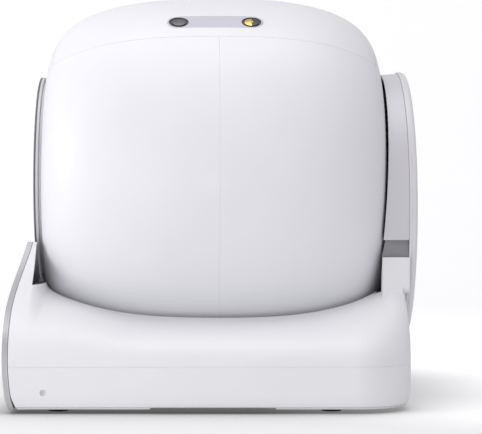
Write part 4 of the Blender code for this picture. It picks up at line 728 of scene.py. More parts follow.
def mirrored(right):
    """A closed outline from its right half."""
    return right + [(-x, other) for x, other in reversed(right)]


def shoulder(aft, bottom, inset):
    """Whole section: both shoulders, joined by a middle that runs on inside the rim."""
    right = shoulder_curve(aft, bottom, inset)
    rise = RIM_RUN_IN * RIM_SLOPE * (1 - fade_from_front(aft, EAR_BLEND_LENGTH))
    right.append((right[-1][0] - RIM_RUN_IN, right[-1][1] + rise))
    return mirrored(right)


def loft_y(name, sections, finish=None):
    """Skin a row of (aft, outline) sections; an outline holds (x, z) points."""
    return skin(name, [[(x, SEAM_Y + aft, z) for x, z in outline] for aft, outline in sections], finish)


def block(name, low, high, finish=None):
    """A cutting block from low to high, each (x, aft, z)."""
    outline = [(low[0], low[2]), (high[0], low[2]), (high[0], high[2]), (low[0], high[2])]
    return loft_y(name, [(low[1], outline), (high[1], outline)], finish)


def base_body(name, inset, bottom, finish=None):
    start = BASE_BACK - BASE_CORNER
    front = BASE_FRONT + TRIM_LAP - inset if inset else BASE_FRONT
    places = [-front] + spread(-EAR_BACK, EAR_BLEND_LENGTH - EAR_BACK, 8)
    places += spread(EAR_BLEND_LENGTH - EAR_BACK, -SWEEP_END, 14)[1:]
    places += spread(-SWEEP_END, start, 14)[1:-1]
    places += [start + (BASE_CORNER - inset) * math.sin(math.pi / 2 * step / 16) for step in range(17)]
    body = loft_y(name, [(aft, shoulder(aft, bottom, inset)) for aft in places], finish)
    mesh_data = bmesh.new()
    mesh_data.from_mesh(body.data)
    bmesh.ops.triangulate(mesh_data, faces=[face for face in mesh_data.faces if len(face.verts) == 4])
    mesh_data.to_mesh(body.data)
    mesh_data.free()
    return body


def behind_ears(name, low):
    """Everything over a height between the ears' back and the place where the sweep ends."""
    return block(name, (-BASE_HALF_WIDTH, -EAR_BACK, low), (BASE_HALF_WIDTH, -SWEEP_END, EAR_Z + PAST))


def upright_outline(bottom, top):
    levers = (UPRIGHT_FOOT, UPRIGHT_SWEEP, (HOUSING_RADIUS, UPRIGHT_BEND_Z), (HOUSING_RADIUS, UPRIGHT_NECK_Z))
    curve = [bezier(levers, step / 20) for step in range(21)]
    return mirrored([(UPRIGHT_FOOT[0], bottom)] + curve + [(HOUSING_RADIUS, top)])


def rounding(edge, steps):
    """How far the points of a rounded corner lie inside its first and its second side."""
    return [(edge * (1 - math.sin(turn)), edge * (1 - math.cos(turn)))
            for turn in spread(0.0, math.pi / 2, steps)]


def under_disc(radius, top, steps=64):
    """The part of a circle about the housing's centre that lies under a height."""
    reach = math.acos((top - HOUSING_CENTRE_Z) / radius)
    return [(radius * math.sin(turn), HOUSING_CENTRE_Z + radius * math.cos(turn))
            for turn in spread(reach, 2 * math.pi - reach, steps)]


def collar_plug(name, grow, front, back):
    hole = ring_points(COLLAR_RADIUS + grow, (0.0, AXIS_Z), 120)
    return loft_y(name, [(front, hole), (back, hole)])


def barrel_plug(name, room):
    """The whole barrel grown by room, as a closed solid for cutting."""
    last_front = share_at_radius(NECK_RADIUS, room)
    last_rear = share_at_radius(REAR_FLAT_RADIUS, room)
    spots = [station(last_front * step / DRUM_STATIONS, -1, room) for step in range(DRUM_STATIONS, 0, -1)]
    spots += [station(last_rear * step / DRUM_STATIONS, 1, room) for step in range(DRUM_STATIONS + 1)]
    return skin(name, [[on_axis(aft, radius, turn) for turn in DRUM_TURNS] for aft, radius in spots])


def box_centre(node):
    """The middle of a node's box seen from the front, as (x, z)."""
    low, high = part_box(node)
    middle = (low + high) / 2
    return (middle.x, middle.z)


def lean_back(piece):
    """Set a front piece back by the face's lean at each height; behind the ears nothing moves."""
    rear_edge = SEAM_Y - EAR_BACK
    mesh_data = bmesh.new()
    mesh_data.from_mesh(piece.data)
    for level, amount in FACE_LEAN:
        faces = [face for face in mesh_data.faces
                 if min(vert.co.y for vert in face.verts) < rear_edge - SEAM_GAP]
        edges = {edge for face in faces for edge in face.edges}
        verts = {vert for face in faces for vert in face.verts}
        bmesh.ops.bisect_plane(mesh_data, geom=[*verts, *edges, *faces], plane_co=(0.0, 0.0, level),
                               plane_no=(0.0, 0.0, 1.0), dist=LEAN_CUT_WITHIN)
    levels, amounts = zip(*FACE_LEAN)
    for vert in mesh_data.verts:
        depth = min(1.0, max(0.0, (rear_edge - vert.co.y) / (BASE_FRONT - EAR_BACK)))
        vert.co.y += float(np.interp(vert.co.z, levels, amounts)) * depth
    mesh_data.to_mesh(piece.data)
    mesh_data.free()


base_finish = plastic("satin_white_base", BASE_WHITE, 0.50, coat=0.03, coat_roughness=0.3)
base = base_body("base_shell", 0.0, PARTING, base_finish)
upright = upright_outline(PARTING + BASE_WALL, UPRIGHT_TOP)
combine(base, loft_y("upright", [(HOUSING_START, upright), (BASE_BACK - BASE_WALL / 2, upright)]), "UNION")
pad = under_disc(HOUSING_RADIUS, UPRIGHT_TOP)
combine(base, loft_y("pad", [(BASE_BACK - BASE_WALL * 2, pad), (HOUSING_BACK, pad)]), "UNION")
cheek = [(HOUSING_RADIUS - inward, UPRIGHT_BEND_Z + up) for inward, up in rounding(CHEEK_EASE, 8)]
cheek = mirrored(cheek + [(HOUSING_RADIUS, UPRIGHT_TOP)])
combine(base, loft_y("cheeks", [(BASE_BACK - BASE_WALL * 2, cheek), (HOUSING_BACK, cheek)]), "UNION")
hollow = base_body("hollow", BASE_WALL, PARTING - PAST)
combine(hollow, collar_plug("collar_wall", BASE_WALL, -BASE_FRONT, PAST - EAR_BACK))
combine(base, hollow)
room = HOUSING_RADIUS - HAND_RECESS_DEPTH - BASE_WALL
combine(base, block("gear_room", (-room, 0.0, PARTING - PAST), (room, BASE_BACK - BASE_WALL, AXIS_Z)))
mouth = under_disc(room + SEAM_GAP, NOTCH_LOW + PAST)
combine(base, loft_y("gear_mouth", [(HOUSING_START, mouth), (HOUSING_BACK + PAST, mouth)]))
combine(base, collar_plug("collar", 0.0, -BASE_FRONT - PAST, -LEDGE_BACK))
combine(base, behind_ears("behind_ears", LEDGE_Z))
combine(base, barrel_plug("drum_room", DRUM_ROOM))
buttons = ("power_button", "clean_button", "mode_button")
for node in buttons:
    low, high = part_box(node)
    bore = ring_points((high.x - low.x) / 2 + SEAM_GAP, box_centre(node))
    combine(base, loft_y("button_bore", [(-BASE_FRONT - PAST, bore), (PAST - BASE_FRONT, bore)]))
lean_back(base)
shade(base, 30)
ease_edges(base, BASE_EASE, angle=45, fine_level=PARTING)
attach(base, "base")
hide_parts("base_shell")


# Lower base. The pan is the same satin white, drawn in a little at the foot. Its right side is the
# drawer's front, which pulls out sideways with the waste bin, and has a finger hollow underneath.
PAN_TOP = 0.0074
FOOT_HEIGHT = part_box("base_pan")[0].z
PAN_TUCK = 0.008
PAN_TUCK_SHARE = 0.42
PAN_ROOM_SHARE = 0.35
PAN_EASE = 0.0006
PARTING_GAP = 0.00012
FOOT_STEM_RADIUS = 0.004
DRAWER_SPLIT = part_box("drawer_front")[0].x
GRIP_FRONT = 0.0875
GRIP_REAR = 0.069
GRIP_DEPTH = 0.024
GRIP_SLANT = 0.006
DIMPLE_FRONT = BASE_FRONT + TRIM_LAP - 0.0438
DIMPLE_Z = 0.025
DIMPLE_RADIUS = 0.0040
DIMPLE_DEPTH = 0.0026
DIMPLE_SKEW = 0.0009
DIMPLE_FIRST_TURN = 0.1


def plan_outline(inset, steps=16):
    """The base in plan, counter-clockwise from its front right corner."""
    start = BASE_BACK - BASE_CORNER
    radius = BASE_CORNER - inset
    half = BASE_HALF_WIDTH - inset
    right = [(half, inset - BASE_FRONT)]
    for turn in spread(0.0, math.pi / 2, steps):
        right.append((half - radius + radius * math.cos(turn), start + radius * math.sin(turn)))
    return mirrored(right)


def loft_z(name, sections, finish=None):
    """Skin a stack of (z, outline) sections; an outline holds (x, aft) points."""
    return skin(name, [[(x, SEAM_Y + aft, z) for x, aft in outline] for z, outline in sections], finish)


def pan_body(name, finish):
    """The pan's outer form: the foot rounds in by the tuck over the first part of the wall."""
    top = PARTING - PARTING_GAP
    rise = (top - FOOT_HEIGHT) * PAN_TUCK_SHARE
    sections = [(FOOT_HEIGHT + rise * up, plan_outline(PAN_TUCK * inward)) for inward, up in rounding(1.0, 10)]
    return loft_z(name, sections + [(top, plan_outline(0.0))], finish)


def pan_hollow(name):
    middle = PAN_TOP + (PARTING - PAN_TOP) * PAN_ROOM_SHARE
    return loft_z(name, [(PAN_TOP, plan_outline(BASE_WALL + PAN_TUCK / 2)), (middle, plan_outline(BASE_WALL)),
                         (PARTING + PAST, plan_outline(BASE_WALL))])


pan = pan_body("base_pan", base_finish)
combine(pan, pan_hollow("hollow"))
combine(pan, block("drawer_mouth", (DRAWER_SPLIT, -BASE_FRONT - PAST, PAN_TOP),
                   (BASE_HALF_WIDTH + PAST, BASE_BACK + PAST, PARTING + PAST)))
grip_low = [(BASE_HALF_WIDTH - GRIP_DEPTH, -GRIP_FRONT), (BASE_HALF_WIDTH + PAST, -GRIP_FRONT),
            (BASE_HALF_WIDTH + PAST, GRIP_REAR), (BASE_HALF_WIDTH - GRIP_DEPTH, GRIP_REAR)]
grip_high = [(x, aft + (GRIP_SLANT if aft < 0 else -GRIP_SLANT)) for x, aft in grip_low]
combine(pan, loft_z("grip", [(FOOT_HEIGHT - PAST, grip_low), (PAN_TOP + SEAM_GAP, grip_high)]))
inlet_low, inlet_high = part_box("power_inlet")
inlet_hole = ring_points((inlet_high.x - inlet_low.x) / 2 + SEAM_GAP, box_centre("power_inlet"))
combine(pan, loft_y("inlet", [(inlet_low.y - SEAM_Y, inlet_hole), (BASE_BACK + PAST, inlet_hole)]))
feet = ("foot_front_left", "foot_front_right", "foot_rear_left", "foot_rear_right")
for node in feet:
    low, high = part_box(node)
    centre = (low + high) / 2
    stem = ring_points(FOOT_STEM_RADIUS + SEAM_GAP, (centre.x, centre.y - SEAM_Y), 24)
    combine(pan, loft_z("bore", [(0.0, stem), (PAN_TOP + PAST, stem)]))
lean_back(pan)
shade(pan, 30)
ease_edges(pan, PAN_EASE, angle=45, fine_level=PARTING)
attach(pan, "base")
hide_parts("base_pan")

drawer = pan_body("drawer_front", base_finish)
combine(drawer, pan_hollow("hollow"))
drawer_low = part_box("drawer_front")[0]
combine(drawer, block("keep", (drawer_low.x, -BASE_FRONT - PAST, drawer_low.z),
                      (BASE_HALF_WIDTH + PAST, BASE_BACK + PAST, PARTING + PAST)), "INTERSECT")
dimple_rings = []
for turn in spread(DIMPLE_FIRST_TURN, math.pi / 2, 6):
    depth = DIMPLE_DEPTH * math.cos(turn)
    skew = DIMPLE_SKEW * math.cos(turn)
    centre = (SEAM_Y - DIMPLE_FRONT - skew, DIMPLE_Z + skew)
    dimple_rings.append([(BASE_HALF_WIDTH - depth, y, z)
                         for y, z in ring_points(DIMPLE_RADIUS * math.sin(turn), centre, 32)])
dimple_rings.append([(BASE_HALF_WIDTH + PAST, y, z) for x, y, z in dimple_rings[-1]])
combine(drawer, skin("dimple", dimple_rings))


def in_painted_dimple_shade(face):
    """Whether a face lies in the hollow of the dimple, which is painted grey as painted shade."""
    across = math.hypot(face.center.y - SEAM_Y + DIMPLE_FRONT, face.center.z - DIMPLE_Z)
    return across < DIMPLE_RADIUS and DRAWER_SPLIT < face.center.x < BASE_HALF_WIDTH - SEAM_GAP


# Painted shade: the dimple's hollow is painted grey for the shadow in the small recess.
tint_faces(drawer, plastic("dimple_grey", (0.70, 0.70, 0.72), 0.5), in_painted_dimple_shade)
lean_back(drawer)
shade(drawer, 30)
ease_edges(drawer, PAN_EASE, angle=45, fine_level=PARTING)
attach(drawer, "drawer")
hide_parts("drawer_front")


# Waste bin. A grey moulded bin that is carried behind the drawer front, low where it runs under the
# drum and full height near the front. Its edges are rounded, so that a bag lies well in it.
BIN_LOW_HEIGHT = 0.018
BIN_SLOPE = 0.060
BIN_WALL = 0.002
BIN_EASE = 0.0008
bin_low, bin_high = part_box("waste_bin")
bin_profile = [(bin_low.x, bin_low.z), (bin_high.x, bin_low.z), (bin_high.x, bin_high.z),
               (bin_low.x + BIN_SLOPE, bin_high.z), (bin_low.x, bin_low.z + BIN_LOW_HEIGHT)]
bin_body = loft_y("waste_bin", [(bin_low.y - SEAM_Y, bin_profile), (bin_high.y - SEAM_Y, bin_profile)],
                  plastic("bin_grey", (0.150, 0.156, 0.166), 0.5, grain=700.0, relief=0.00005))
bin_room = [(bin_low.x + BIN_WALL, bin_low.z + BIN_WALL), (bin_high.x - BIN_WALL, bin_low.z + BIN_WALL),
            (bin_high.x - BIN_WALL, bin_high.z + PAST), (bin_low.x + BIN_SLOPE + BIN_WALL, bin_high.z + PAST),
            (bin_low.x + BIN_WALL, bin_low.z + BIN_LOW_HEIGHT + PAST)]
combine(bin_body, loft_y("bin_room", [(bin_low.y - SEAM_Y + BIN_WALL, bin_room),
                                      (bin_high.y - SEAM_Y - BIN_WALL, bin_room)]))
shade(bin_body)
ease_edges(bin_body, BIN_EASE, 3)
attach(bin_body, "drawer")
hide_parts("waste_bin")


# Front face. A satin silver band runs all round the base's front, with a gloss white panel set in
# it. Both follow the ears and lean back with them. The panel holds the display window and buttons.
TRIM_BAND = 0.009
TRIM_GAP = 0.0006
TRIM_EASE = 0.0008
PANEL_EASE = 0.0006
WINDOW_EASE = 0.0004
BUTTON_RADIUS = 0.0065
BUTTON_EDGE = 0.0012
display_low, display_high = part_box("display_window")


def face_outline(inset):
    """Front view of the face: straight sides, swept shoulders, ears and the round notch."""
    half = BASE_HALF_WIDTH - inset
    bottom = FOOT_HEIGHT + inset
    notch = COLLAR_RADIUS + inset
    upper = shoulder_curve(-BASE_FRONT, PARTING, inset)
    right = [(half - inward, bottom + 2 * up) for inward, up in rounding(PAN_TUCK, 8)] + upper[1:]
    notch_turn = math.acos((AXIS_Z - EAR_Z + inset) / notch)
    right += [(notch * math.sin(turn), AXIS_Z - notch * math.cos(turn))
              for turn in spread(notch_turn, 0.0, 40)]
    return right + [(-x, z) for x, z in reversed(right[:-1])]


def face_plate(name, front, back, inset, finish=None):
    return loft_y(name, [(front, face_outline(inset)), (back, face_outline(inset))], finish)


def satin_paint(name, colour, roughness):
    """Metallic satin paint: fine flake, an even sheen and slight orange peel."""
    made = plastic(name, colour, roughness, grain=2600.0, relief=0.00001, tint=0.05)
    made.node_tree.nodes["Principled BSDF"].inputs["Metallic"].default_value = 0.30
    return made


trim = face_plate("front_trim", -TRIM_FRONT, -(BASE_FRONT + TRIM_GAP), 0.0,
                  satin_paint("satin_silver_band", (0.49, 0.49, 0.50), 0.42))
combine(trim, face_plate("inner", -(TRIM_FRONT + PAST), PAST - BASE_FRONT, TRIM_BAND))
lean_back(trim)
shade(trim, 30)
ease_edges(trim, TRIM_EASE, 3, angle=45)
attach(trim, "base")
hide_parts("front_trim")

panel = face_plate("front_fascia", -(TRIM_FRONT - SEAM_GAP), -(BASE_FRONT + SEAM_GAP), TRIM_BAND + SEAM_GAP,
                   plastic("gloss_white_panel", DRUM_WHITE, 0.32, coat=0.2, coat_roughness=0.18))
combine(panel, block("window_seat", (display_low.x - SEAM_GAP, -TRIM_FRONT - PAST, display_low.z - SEAM_GAP),
                     (display_high.x + SEAM_GAP, display_high.y - SEAM_Y + SEAM_GAP,
                      display_high.z + SEAM_GAP)))
for node in buttons:
    hole = ring_points(BUTTON_RADIUS + SEAM_GAP, box_centre(node))
    combine(panel, loft_y("bore", [(-TRIM_FRONT - PAST, hole), (PAST - BASE_FRONT, hole)]))
lean_back(panel)
shade(panel, 30)
ease_edges(panel, PANEL_EASE, angle=45)
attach(panel, "base")
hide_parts("front_fascia")

window_finish = plastic("smoked_window", (0.010, 0.010, 0.012), 0.10, relief=0.000004,
                        coat=0.8, coat_roughness=0.03)
window = block("display_window", (display_low.x, display_low.y - SEAM_Y, display_low.z),
               (display_high.x, display_high.y - SEAM_Y, display_high.z), window_finish)
shade(window)
ease_edges(window, WINDOW_EASE)
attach(window, "base")
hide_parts("display_window")

button_finish = plastic("button_grey", (0.60, 0.605, 0.63), 0.38)
for node in buttons:
    low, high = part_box(node)
    layers = [(high.y, BUTTON_RADIUS)]
    layers += [(low.y + back, BUTTON_RADIUS - inward) for back, inward in rounding(BUTTON_EDGE, 5)]
    button = loft_y(node, [(y - SEAM_Y, ring_points(radius, box_centre(node))) for y, radius in layers],
                    button_finish)
    shade(button)
    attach(button, node)
    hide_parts(node)


# Cradle tray. A pale moulded trough under the drum that keeps litter off the works; only its edge
# shows, in the gap between the drum and the base's rim. Its slot lets the waste fall into the bin.
CRADLE_ROOM = 0.005
CRADLE_WALL = 0.003
CRADLE_HALF_TURN = math.radians(60)
CHUTE_TURN = math.radians(147)
CHUTE_HALF_TURN = math.radians(12)
CRADLE_FRONT_RADIUS = 0.17
CRADLE_END_SHARE = 0.83
cradle_front = station(share_at_radius(CRADLE_FRONT_RADIUS, CRADLE_ROOM), -1, CRADLE_ROOM)[0]
cradle_places = spread(cradle_front, station(CRADLE_END_SHARE, -1)[0], 5)
cradle_places += barrel_places(CRADLE_END_SHARE)[1:]
cradle_places = [aft for aft in cradle_places if aft <= station(HATCH_END_SHARE, 1)[0]]
tray = barrel_slab("cradle_tray", cradle_places, math.pi - CRADLE_HALF_TURN, math.pi + CRADLE_HALF_TURN,
                   CRADLE_ROOM + CRADLE_WALL, CRADLE_ROOM, plastic("tray_white", (0.80, 0.80, 0.82), 0.5))
combine(tray, base_body("limit", BASE_WALL / 2, FOOT_HEIGHT), "INTERSECT")
combine(tray, behind_ears("ledge_room", RIM_Z + RIM_END_RISE - BASE_WALL))
combine(tray, slab("chute", spread(-PORT_HALF_LENGTH, PORT_HALF_LENGTH, 4),
                   lambda aft: spread(CHUTE_TURN - CHUTE_HALF_TURN, CHUTE_TURN + CHUTE_HALF_TURN, 8),
                   lambda aft, turn: DRUM_RADIUS + CRADLE_ROOM * 4, lambda aft, turn: DRUM_RADIUS))
shade(tray)
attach(tray, "base")
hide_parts("cradle_tray")


# Rear housing. A round satin white cover over the gear train, moulded with a slight draft so that it widens to
# the back, black inside and cut away low on each side for a hand. It stands on the upright. Its white is
# painted darker than the back cover's, as painted shade for the drum's shadow on its side.
HOUSING_DRAFT = 0.0025
HOUSING_WALL = 0.003
HOUSING_ROOM = 0.0034
NOTCH_HEIGHT = 0.021
NOTCH_CORE = HOUSING_RADIUS - HAND_RECESS_DEPTH
HOUSING_EASE = 0.0006
HOUSING_WHITE_PAINTED_SHADE = (0.690, 0.680, 0.705)
COVER_WHITE = (0.800, 0.795, 0.815)
RECESS_PAINTED_SHADE_GREY = (0.330, 0.325, 0.340)


def over_disc(radius, flat_z, steps=110):
    """A circle about the housing's centre cut off flat at a height, from right over the top."""
    start = math.pi - math.acos((HOUSING_CENTRE_Z - flat_z) / radius)
    return [(radius * math.sin(turn), HOUSING_CENTRE_Z + radius * math.cos(turn))
            for turn in spread(start, -start, steps)]


def in_gear_room(face):
    """Whether a face belongs to the inside of the housing, behind its front edge."""
    middle = face.center
    reach = math.hypot(middle.x, middle.z - HOUSING_CENTRE_Z)
    over_recess = middle.z > NOTCH_LOW + NOTCH_HEIGHT + SEAM_GAP
    return over_recess and reach < HOUSING_RADIUS - HOUSING_DRAFT - HOUSING_WALL / 2


def in_recess_painted_shade(face):
    """Whether a face belongs to the floor or the roof of the hand recess, which is painted dark grey as
    painted shade.
    """
    in_height = NOTCH_LOW < face.center.z < NOTCH_LOW + NOTCH_HEIGHT + SEAM_GAP
    return in_height and NOTCH_CORE - HOUSING_WALL / 2 < abs(face.center.x) < HOUSING_RADIUS - HOUSING_WALL


# Painted shade: the housing's white is set darker than the cover's to stand in for the drum's shadow on its
# side.
housing_painted_shade_finish = plastic("satin_white_housing", HOUSING_WHITE_PAINTED_SHADE, 0.40, coat=0.08, coat_roughness=0.2)
slim = over_disc(HOUSING_RADIUS - HOUSING_DRAFT, NOTCH_LOW)
full = over_disc(HOUSING_RADIUS, NOTCH_LOW)
housing = loft_y("rear_housing", [(HOUSING_START, slim), (HOUSING_BACK, full)], housing_painted_shade_finish)
inner = over_disc(HOUSING_RADIUS - HOUSING_DRAFT - HOUSING_WALL, NOTCH_LOW + NOTCH_HEIGHT + HOUSING_WALL)
housing_ends = (HOUSING_START - PAST, HOUSING_BACK + PAST)
combine(housing, loft_y("upper_room", [(aft, inner) for aft in housing_ends]))
core = NOTCH_CORE - HOUSING_WALL
combine(housing, block("lower_room", (-core, housing_ends[0], NOTCH_LOW - PAST),
                       (core, housing_ends[1], NOTCH_LOW + NOTCH_HEIGHT + HOUSING_WALL * 2)))
for side in (-1, 1):
    near, far = sorted((side * NOTCH_CORE, side * (HOUSING_RADIUS + PAST)))
    combine(housing, block("notch", (near, housing_ends[0], NOTCH_LOW - PAST),
                           (far, housing_ends[1], NOTCH_LOW + NOTCH_HEIGHT)))
combine(housing, barrel_plug("drum_room", HOUSING_ROOM))
tint_faces(housing, plastic("inside_black", (0.030, 0.030, 0.034), 0.6), in_gear_room)
# Painted shade: the floor and roof of the hand recess are painted dark grey for the shadow in the recess.
tint_faces(housing, plastic("recess_grey", RECESS_PAINTED_SHADE_GREY, 0.5), in_recess_painted_shade)
shade(housing, 30)
ease_edges(housing, HOUSING_EASE, angle=45)
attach(housing, "base")
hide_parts("rear_housing")


# Back cover. A shallow round dish that closes the housing, with a rounded rim and two fine grooves
# behind it, held to the gear frame by four sunk screws.
COVER_EDGE = 0.006
COVER_WALL = 0.003
GROOVE_DEPTH = 0.0007
GROOVE_WIDTH = 0.0010
GROOVE_PLACE = 0.0026
SCREW_RADIUS = 0.0035
SCREW_EDGE = 0.0006
DRIVE_REACH = 0.0022
DRIVE_HALF_WIDTH = 0.0004
DRIVE_DEPTH = 0.0016
cover_low, cover_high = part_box("back_cover")
COVER_RADIUS = cover_high.x
REAR_REACH = cover_high.y - SEAM_Y
cover_start = cover_low.y - SEAM_Y


def dish(radius):
    return ring_points(radius, (0.0, HOUSING_CENTRE_Z), 128)


layers = [(cover_start, COVER_RADIUS - GROOVE_DEPTH), (cover_start + GROOVE_DEPTH, COVER_RADIUS)]
groove = cover_start + GROOVE_PLACE
layers += [(groove, COVER_RADIUS), (groove, COVER_RADIUS - GROOVE_DEPTH),
           (groove + GROOVE_WIDTH, COVER_RADIUS - GROOVE_DEPTH), (groove + GROOVE_WIDTH, COVER_RADIUS)]
layers += [(REAR_REACH - back, COVER_RADIUS - inward) for back, inward in rounding(COVER_EDGE, 10)]
cover = loft_y("back_cover", [(aft, dish(radius)) for aft, radius in layers],
               plastic("satin_white_cover", COVER_WHITE, 0.40, coat=0.08, coat_roughness=0.2))
room = dish(COVER_RADIUS - COVER_EDGE - COVER_WALL)
combine(cover, loft_y("cover_room", [(cover_start - PAST, room), (REAR_REACH - COVER_WALL, room)]))
screws = ("cover_screw_upper_right", "cover_screw_lower_right",
          "cover_screw_lower_left", "cover_screw_upper_left")
steel = turned_metal("ground_steel", (0.56, 0.56, 0.57), 0.30)
for node in screws:
    low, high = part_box(node)
    x, z = box_centre(node)
    hole = ring_points(SCREW_RADIUS + SEAM_GAP, (x, z), 24)
    combine(cover, loft_y("hole", [(REAR_REACH - COVER_WALL * 2, hole), (REAR_REACH + PAST, hole)]))
    top = high.y - SEAM_Y
    head = [(low.y - SEAM_Y, SCREW_RADIUS), (top - SCREW_EDGE, SCREW_RADIUS),
            (top, SCREW_RADIUS - SCREW_EDGE)]
    screw = loft_y(node, [(aft, ring_points(radius, (x, z), 24)) for aft, radius in head], steel)
    for half_x, half_z in ((DRIVE_REACH, DRIVE_HALF_WIDTH), (DRIVE_HALF_WIDTH, DRIVE_REACH)):
        combine(screw, block("drive", (x - half_x, top - DRIVE_DEPTH, z - half_z),
                             (x + half_x, top + PAST, z + half_z)))
    shade(screw)
    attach(screw, "base")
    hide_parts(node)
shade(cover, 30)
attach(cover, "base")
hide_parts("back_cover")


# Feet. Four round pads of soft black rubber under the corners, matt and moulded with a rounded
# tread. Each has a short stem that is pressed into a bore in the pan.
FOOT_EDGE = 0.0009
rubber = plastic("foot_rubber", (0.014, 0.014, 0.014), 0.82, grain=900.0, relief=0.00006)
for node in feet:
    low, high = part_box(node)
    centre = (low + high) / 2
    radius = (high.x - low.x) / 2
    tread = FOOT_HEIGHT - SEAM_GAP
    layers = [(up, radius - inward) for up, inward in reversed(rounding(FOOT_EDGE, 6))]
    layers += [(tread, radius), (tread, FOOT_STEM_RADIUS), (high.z, FOOT_STEM_RADIUS)]
    foot = loft_z(node, [(z, ring_points(size, (centre.x, centre.y - SEAM_Y), 48)) for z, size in layers],
                  rubber)
    shade(foot)
    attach(foot, "base")
    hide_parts(node)


# Works inside the machine. The gears are black acetal, the hub, bearing and axles turned steel, the
# motor can plated, the load cells milled aluminium and the boards green laminate. They are the
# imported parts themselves, given their own finishes.
acetal = plastic("gear_acetal", (0.008, 0.008, 0.009), 0.66)
frame_black = plastic("frame_black", (0.030, 0.030, 0.032), 0.58, grain=700.0, relief=0.00005)
laminate = plastic("board_laminate", (0.010, 0.085, 0.045), 0.35, grain=300.0, tint=0.25)
nylon = plastic("roller_nylon", (0.62, 0.60, 0.54), 0.45)
milled = turned_metal("milled_aluminium", (0.70, 0.71, 0.72), 0.34, 500.0)
plated = turned_metal("plated_can", (0.42, 0.42, 0.44), 0.36, 300.0)
inlet_black = plastic("inlet_black", (0.018, 0.018, 0.018), 0.5)
works = {
    "ring_gear": acetal, "drive_pinion": acetal, "hub_axle": steel, "main_bearing": steel,
    "roller_axle_left": steel, "roller_axle_right": steel, "gear_motor": plated, "gear_frame": frame_black,
    "control_board": laminate, "display_board": laminate, "power_inlet": inlet_black,
    "roller_left": nylon, "roller_right": nylon,
    "roller_bracket_left": base_finish, "roller_bracket_right": base_finish,
    "drawer_rail_front": base_finish, "drawer_rail_rear": base_finish,
    "load_cell_front_left": milled, "load_cell_front_right": milled,
    "load_cell_rear_left": milled, "load_cell_rear_right": milled,
}
for node, finish in works.items():
    part = frame["nodes"][node]
    for slot in part.material_slots:
        slot.link = "OBJECT"
        slot.material = finish


# Studio. A white paper sweep with painted shade close round the machine, from an occlusion node in what the
# camera sees, and a painted glow that only the camera sees, growing farther from the camera, farther from the
# machine and toward its back end; a large soft lamp in front of the machine, one overhead, a weak one by the
# camera and a white sky.
FLOOR_REACH = 6.0
SWEEP_START = 2.2
SWEEP_BEND = 1.2
PAPER_WHITE = (0.90, 0.90, 0.90, 1.0)
CAMERA_X = 2.540
CAMERA_AFT = -0.028
CAMERA_Z = 0.241
FOCAL_PIXELS = 1900.0
IMAGE_WIDTH = 482.0
IMAGE_HEIGHT = 434.0
AIM_COLUMN = 197.0
AIM_ROW = 208.0
LAMP_AIM = Vector((0.0, 0.0, 0.25))

floor_data = bmesh.new()
profile = [(FLOOR_REACH, 0.0), (-SWEEP_START, 0.0)]
profile += [(-SWEEP_START - SWEEP_BEND * math.sin(turn), SWEEP_BEND * (1 - math.cos(turn)))
            for turn in spread(0.0, math.pi / 2, 16)[1:]]
profile.append((-SWEEP_START - SWEEP_BEND, FLOOR_REACH))
rows = [[floor_data.verts.new((x, y, z)) for y in (-FLOOR_REACH, FLOOR_REACH)] for x, z in profile]
for first, second in zip(rows, rows[1:]):
    floor_data.faces.new((first[0], first[1], second[1], second[0]))
floor = new_piece("studio_floor", floor_data)
floor.data.shade_smooth()

paper, paper_shader = new_finish("white_paper")
paper_shader.inputs["Base Color"].default_value = PAPER_WHITE
paper_shader.inputs["Roughness"].default_value = 0.9
paper_shader.inputs["Specular IOR Level"].default_value = 0.1
# Painted shade: in what the camera sees, the paper darkens near the machine by an occlusion node.
near_shade = add_node(paper, "AmbientOcclusion", Color=PAPER_WHITE, Distance=0.19)
near_shade.samples = 16
watched = add_node(paper, "BsdfDiffuse")
wire(paper, near_shade, "Color", watched, "Color")

# Painted light: a glow seen only by camera rays, growing farther from the camera, farther from the machine and
# toward its back end.
where = add_node(paper, "TexCoord")
axes = add_node(paper, "SeparateXYZ")
ahead = add_node(paper, "MapRange", From_Min=-1.0, From_Max=0.60, To_Min=-1.0, To_Max=0.60)
away = add_node(paper, "VectorMath")
away.operation = "LENGTH"
beyond = add_node(paper, "MapRange", From_Min=0.62, From_Max=1.60, To_Max=0.80)
nearer = add_node(paper, "Math")
nearer.operation = "SUBTRACT"
aside = add_node(paper, "MapRange", From_Min=0.05, From_Max=0.35, To_Max=0.20)
brighter = add_node(paper, "Math")
brighter.operation = "SUBTRACT"
painted_glow_strength = add_node(paper, "MapRange", From_Min=0.40, From_Max=0.05, To_Min=0.04, To_Max=0.34)
painted_glow_strength.interpolation_type = "SMOOTHSTEP"
painted_glow = add_node(paper, "Emission")
wire(paper, where, "Object", axes, "Vector")
wire(paper, where, "Object", away, 0)
wire(paper, axes, "X", ahead, "Value")
wire(paper, away, "Value", beyond, "Value")
wire(paper, ahead, "Result", nearer, 0)
wire(paper, beyond, "Result", nearer, 1)
wire(paper, axes, "Y", aside, "Value")
wire(paper, nearer, "Value", brighter, 0)
wire(paper, aside, "Result", brighter, 1)
wire(paper, brighter, "Value", painted_glow_strength, "Value")
wire(paper, painted_glow_strength, "Result", painted_glow, "Strength")

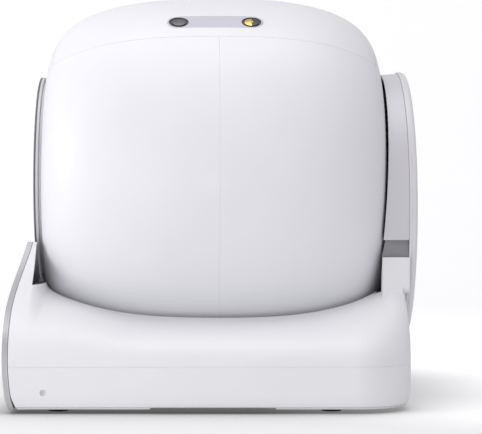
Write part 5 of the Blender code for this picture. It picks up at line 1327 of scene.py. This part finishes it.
watched_paper = add_node(paper, "AddShader")
seen = add_node(paper, "LightPath")
either = add_node(paper, "MixShader")
wire(paper, watched, "BSDF", watched_paper, 0)
wire(paper, painted_glow, "Emission", watched_paper, 1)
wire(paper, seen, "Is Camera Ray", either, "Fac")
wire(paper, paper_shader, "BSDF", either, 1)
wire(paper, watched_paper, "Shader", either, 2)
wire(paper, either, "Shader", paper.node_tree.nodes["Material Output"], "Surface")
floor.data.materials.append(paper)

sky = bpy.data.worlds.new("studio_sky")
sky.use_nodes = True
bpy.context.scene.world = sky
lit = sky.node_tree.nodes["Background"]
lit.inputs["Color"].default_value = (0.955, 0.945, 1.0, 1.0)
lit.inputs["Strength"].default_value = 0.55
backdrop = add_node(sky, "Background", Color=(1.0, 1.0, 1.0, 1.0))
path = add_node(sky, "LightPath")
choose = add_node(sky, "MixShader")
wire(sky, path, "Is Camera Ray", choose, "Fac")
wire(sky, lit, "Background", choose, 1)
wire(sky, backdrop, "Background", choose, 2)
wire(sky, choose, "Shader", sky.node_tree.nodes["World Output"], "Surface")

for name, place, size, watts in (("key_lamp", (1.1, -2.7, 0.8), 2.0, 34.0),
                                 ("top_lamp", (0.2, 0.0, 2.9), 2.0, 26.0),
                                 ("camera_lamp", (2.9, -0.9, 0.5), 1.8, 11.0)):
    light = bpy.data.lights.new(name, "AREA")
    light.shape = "DISK"
    light.size = size
    light.energy = watts
    lamp = bpy.data.objects.new(name, light)
    lamp.location = place
    lamp.rotation_euler = (LAMP_AIM - Vector(place)).to_track_quat("-Z", "Y").to_euler()
    bpy.context.scene.collection.objects.link(lamp)

lens = bpy.data.cameras.new("studio_camera")
lens.sensor_width = 36.0
lens.lens = lens.sensor_width * FOCAL_PIXELS / IMAGE_WIDTH
lens.shift_x = (IMAGE_WIDTH / 2 - AIM_COLUMN) / IMAGE_WIDTH
lens.shift_y = (AIM_ROW - IMAGE_HEIGHT / 2) / IMAGE_WIDTH
camera = bpy.data.objects.new("studio_camera", lens)
camera.location = (CAMERA_X, SEAM_Y + CAMERA_AFT, CAMERA_Z)
camera.rotation_euler = (math.pi / 2, 0.0, math.pi / 2)
bpy.context.scene.collection.objects.link(camera)
bpy.context.scene.camera = camera
bpy.context.scene.view_settings.view_transform = "Standard"
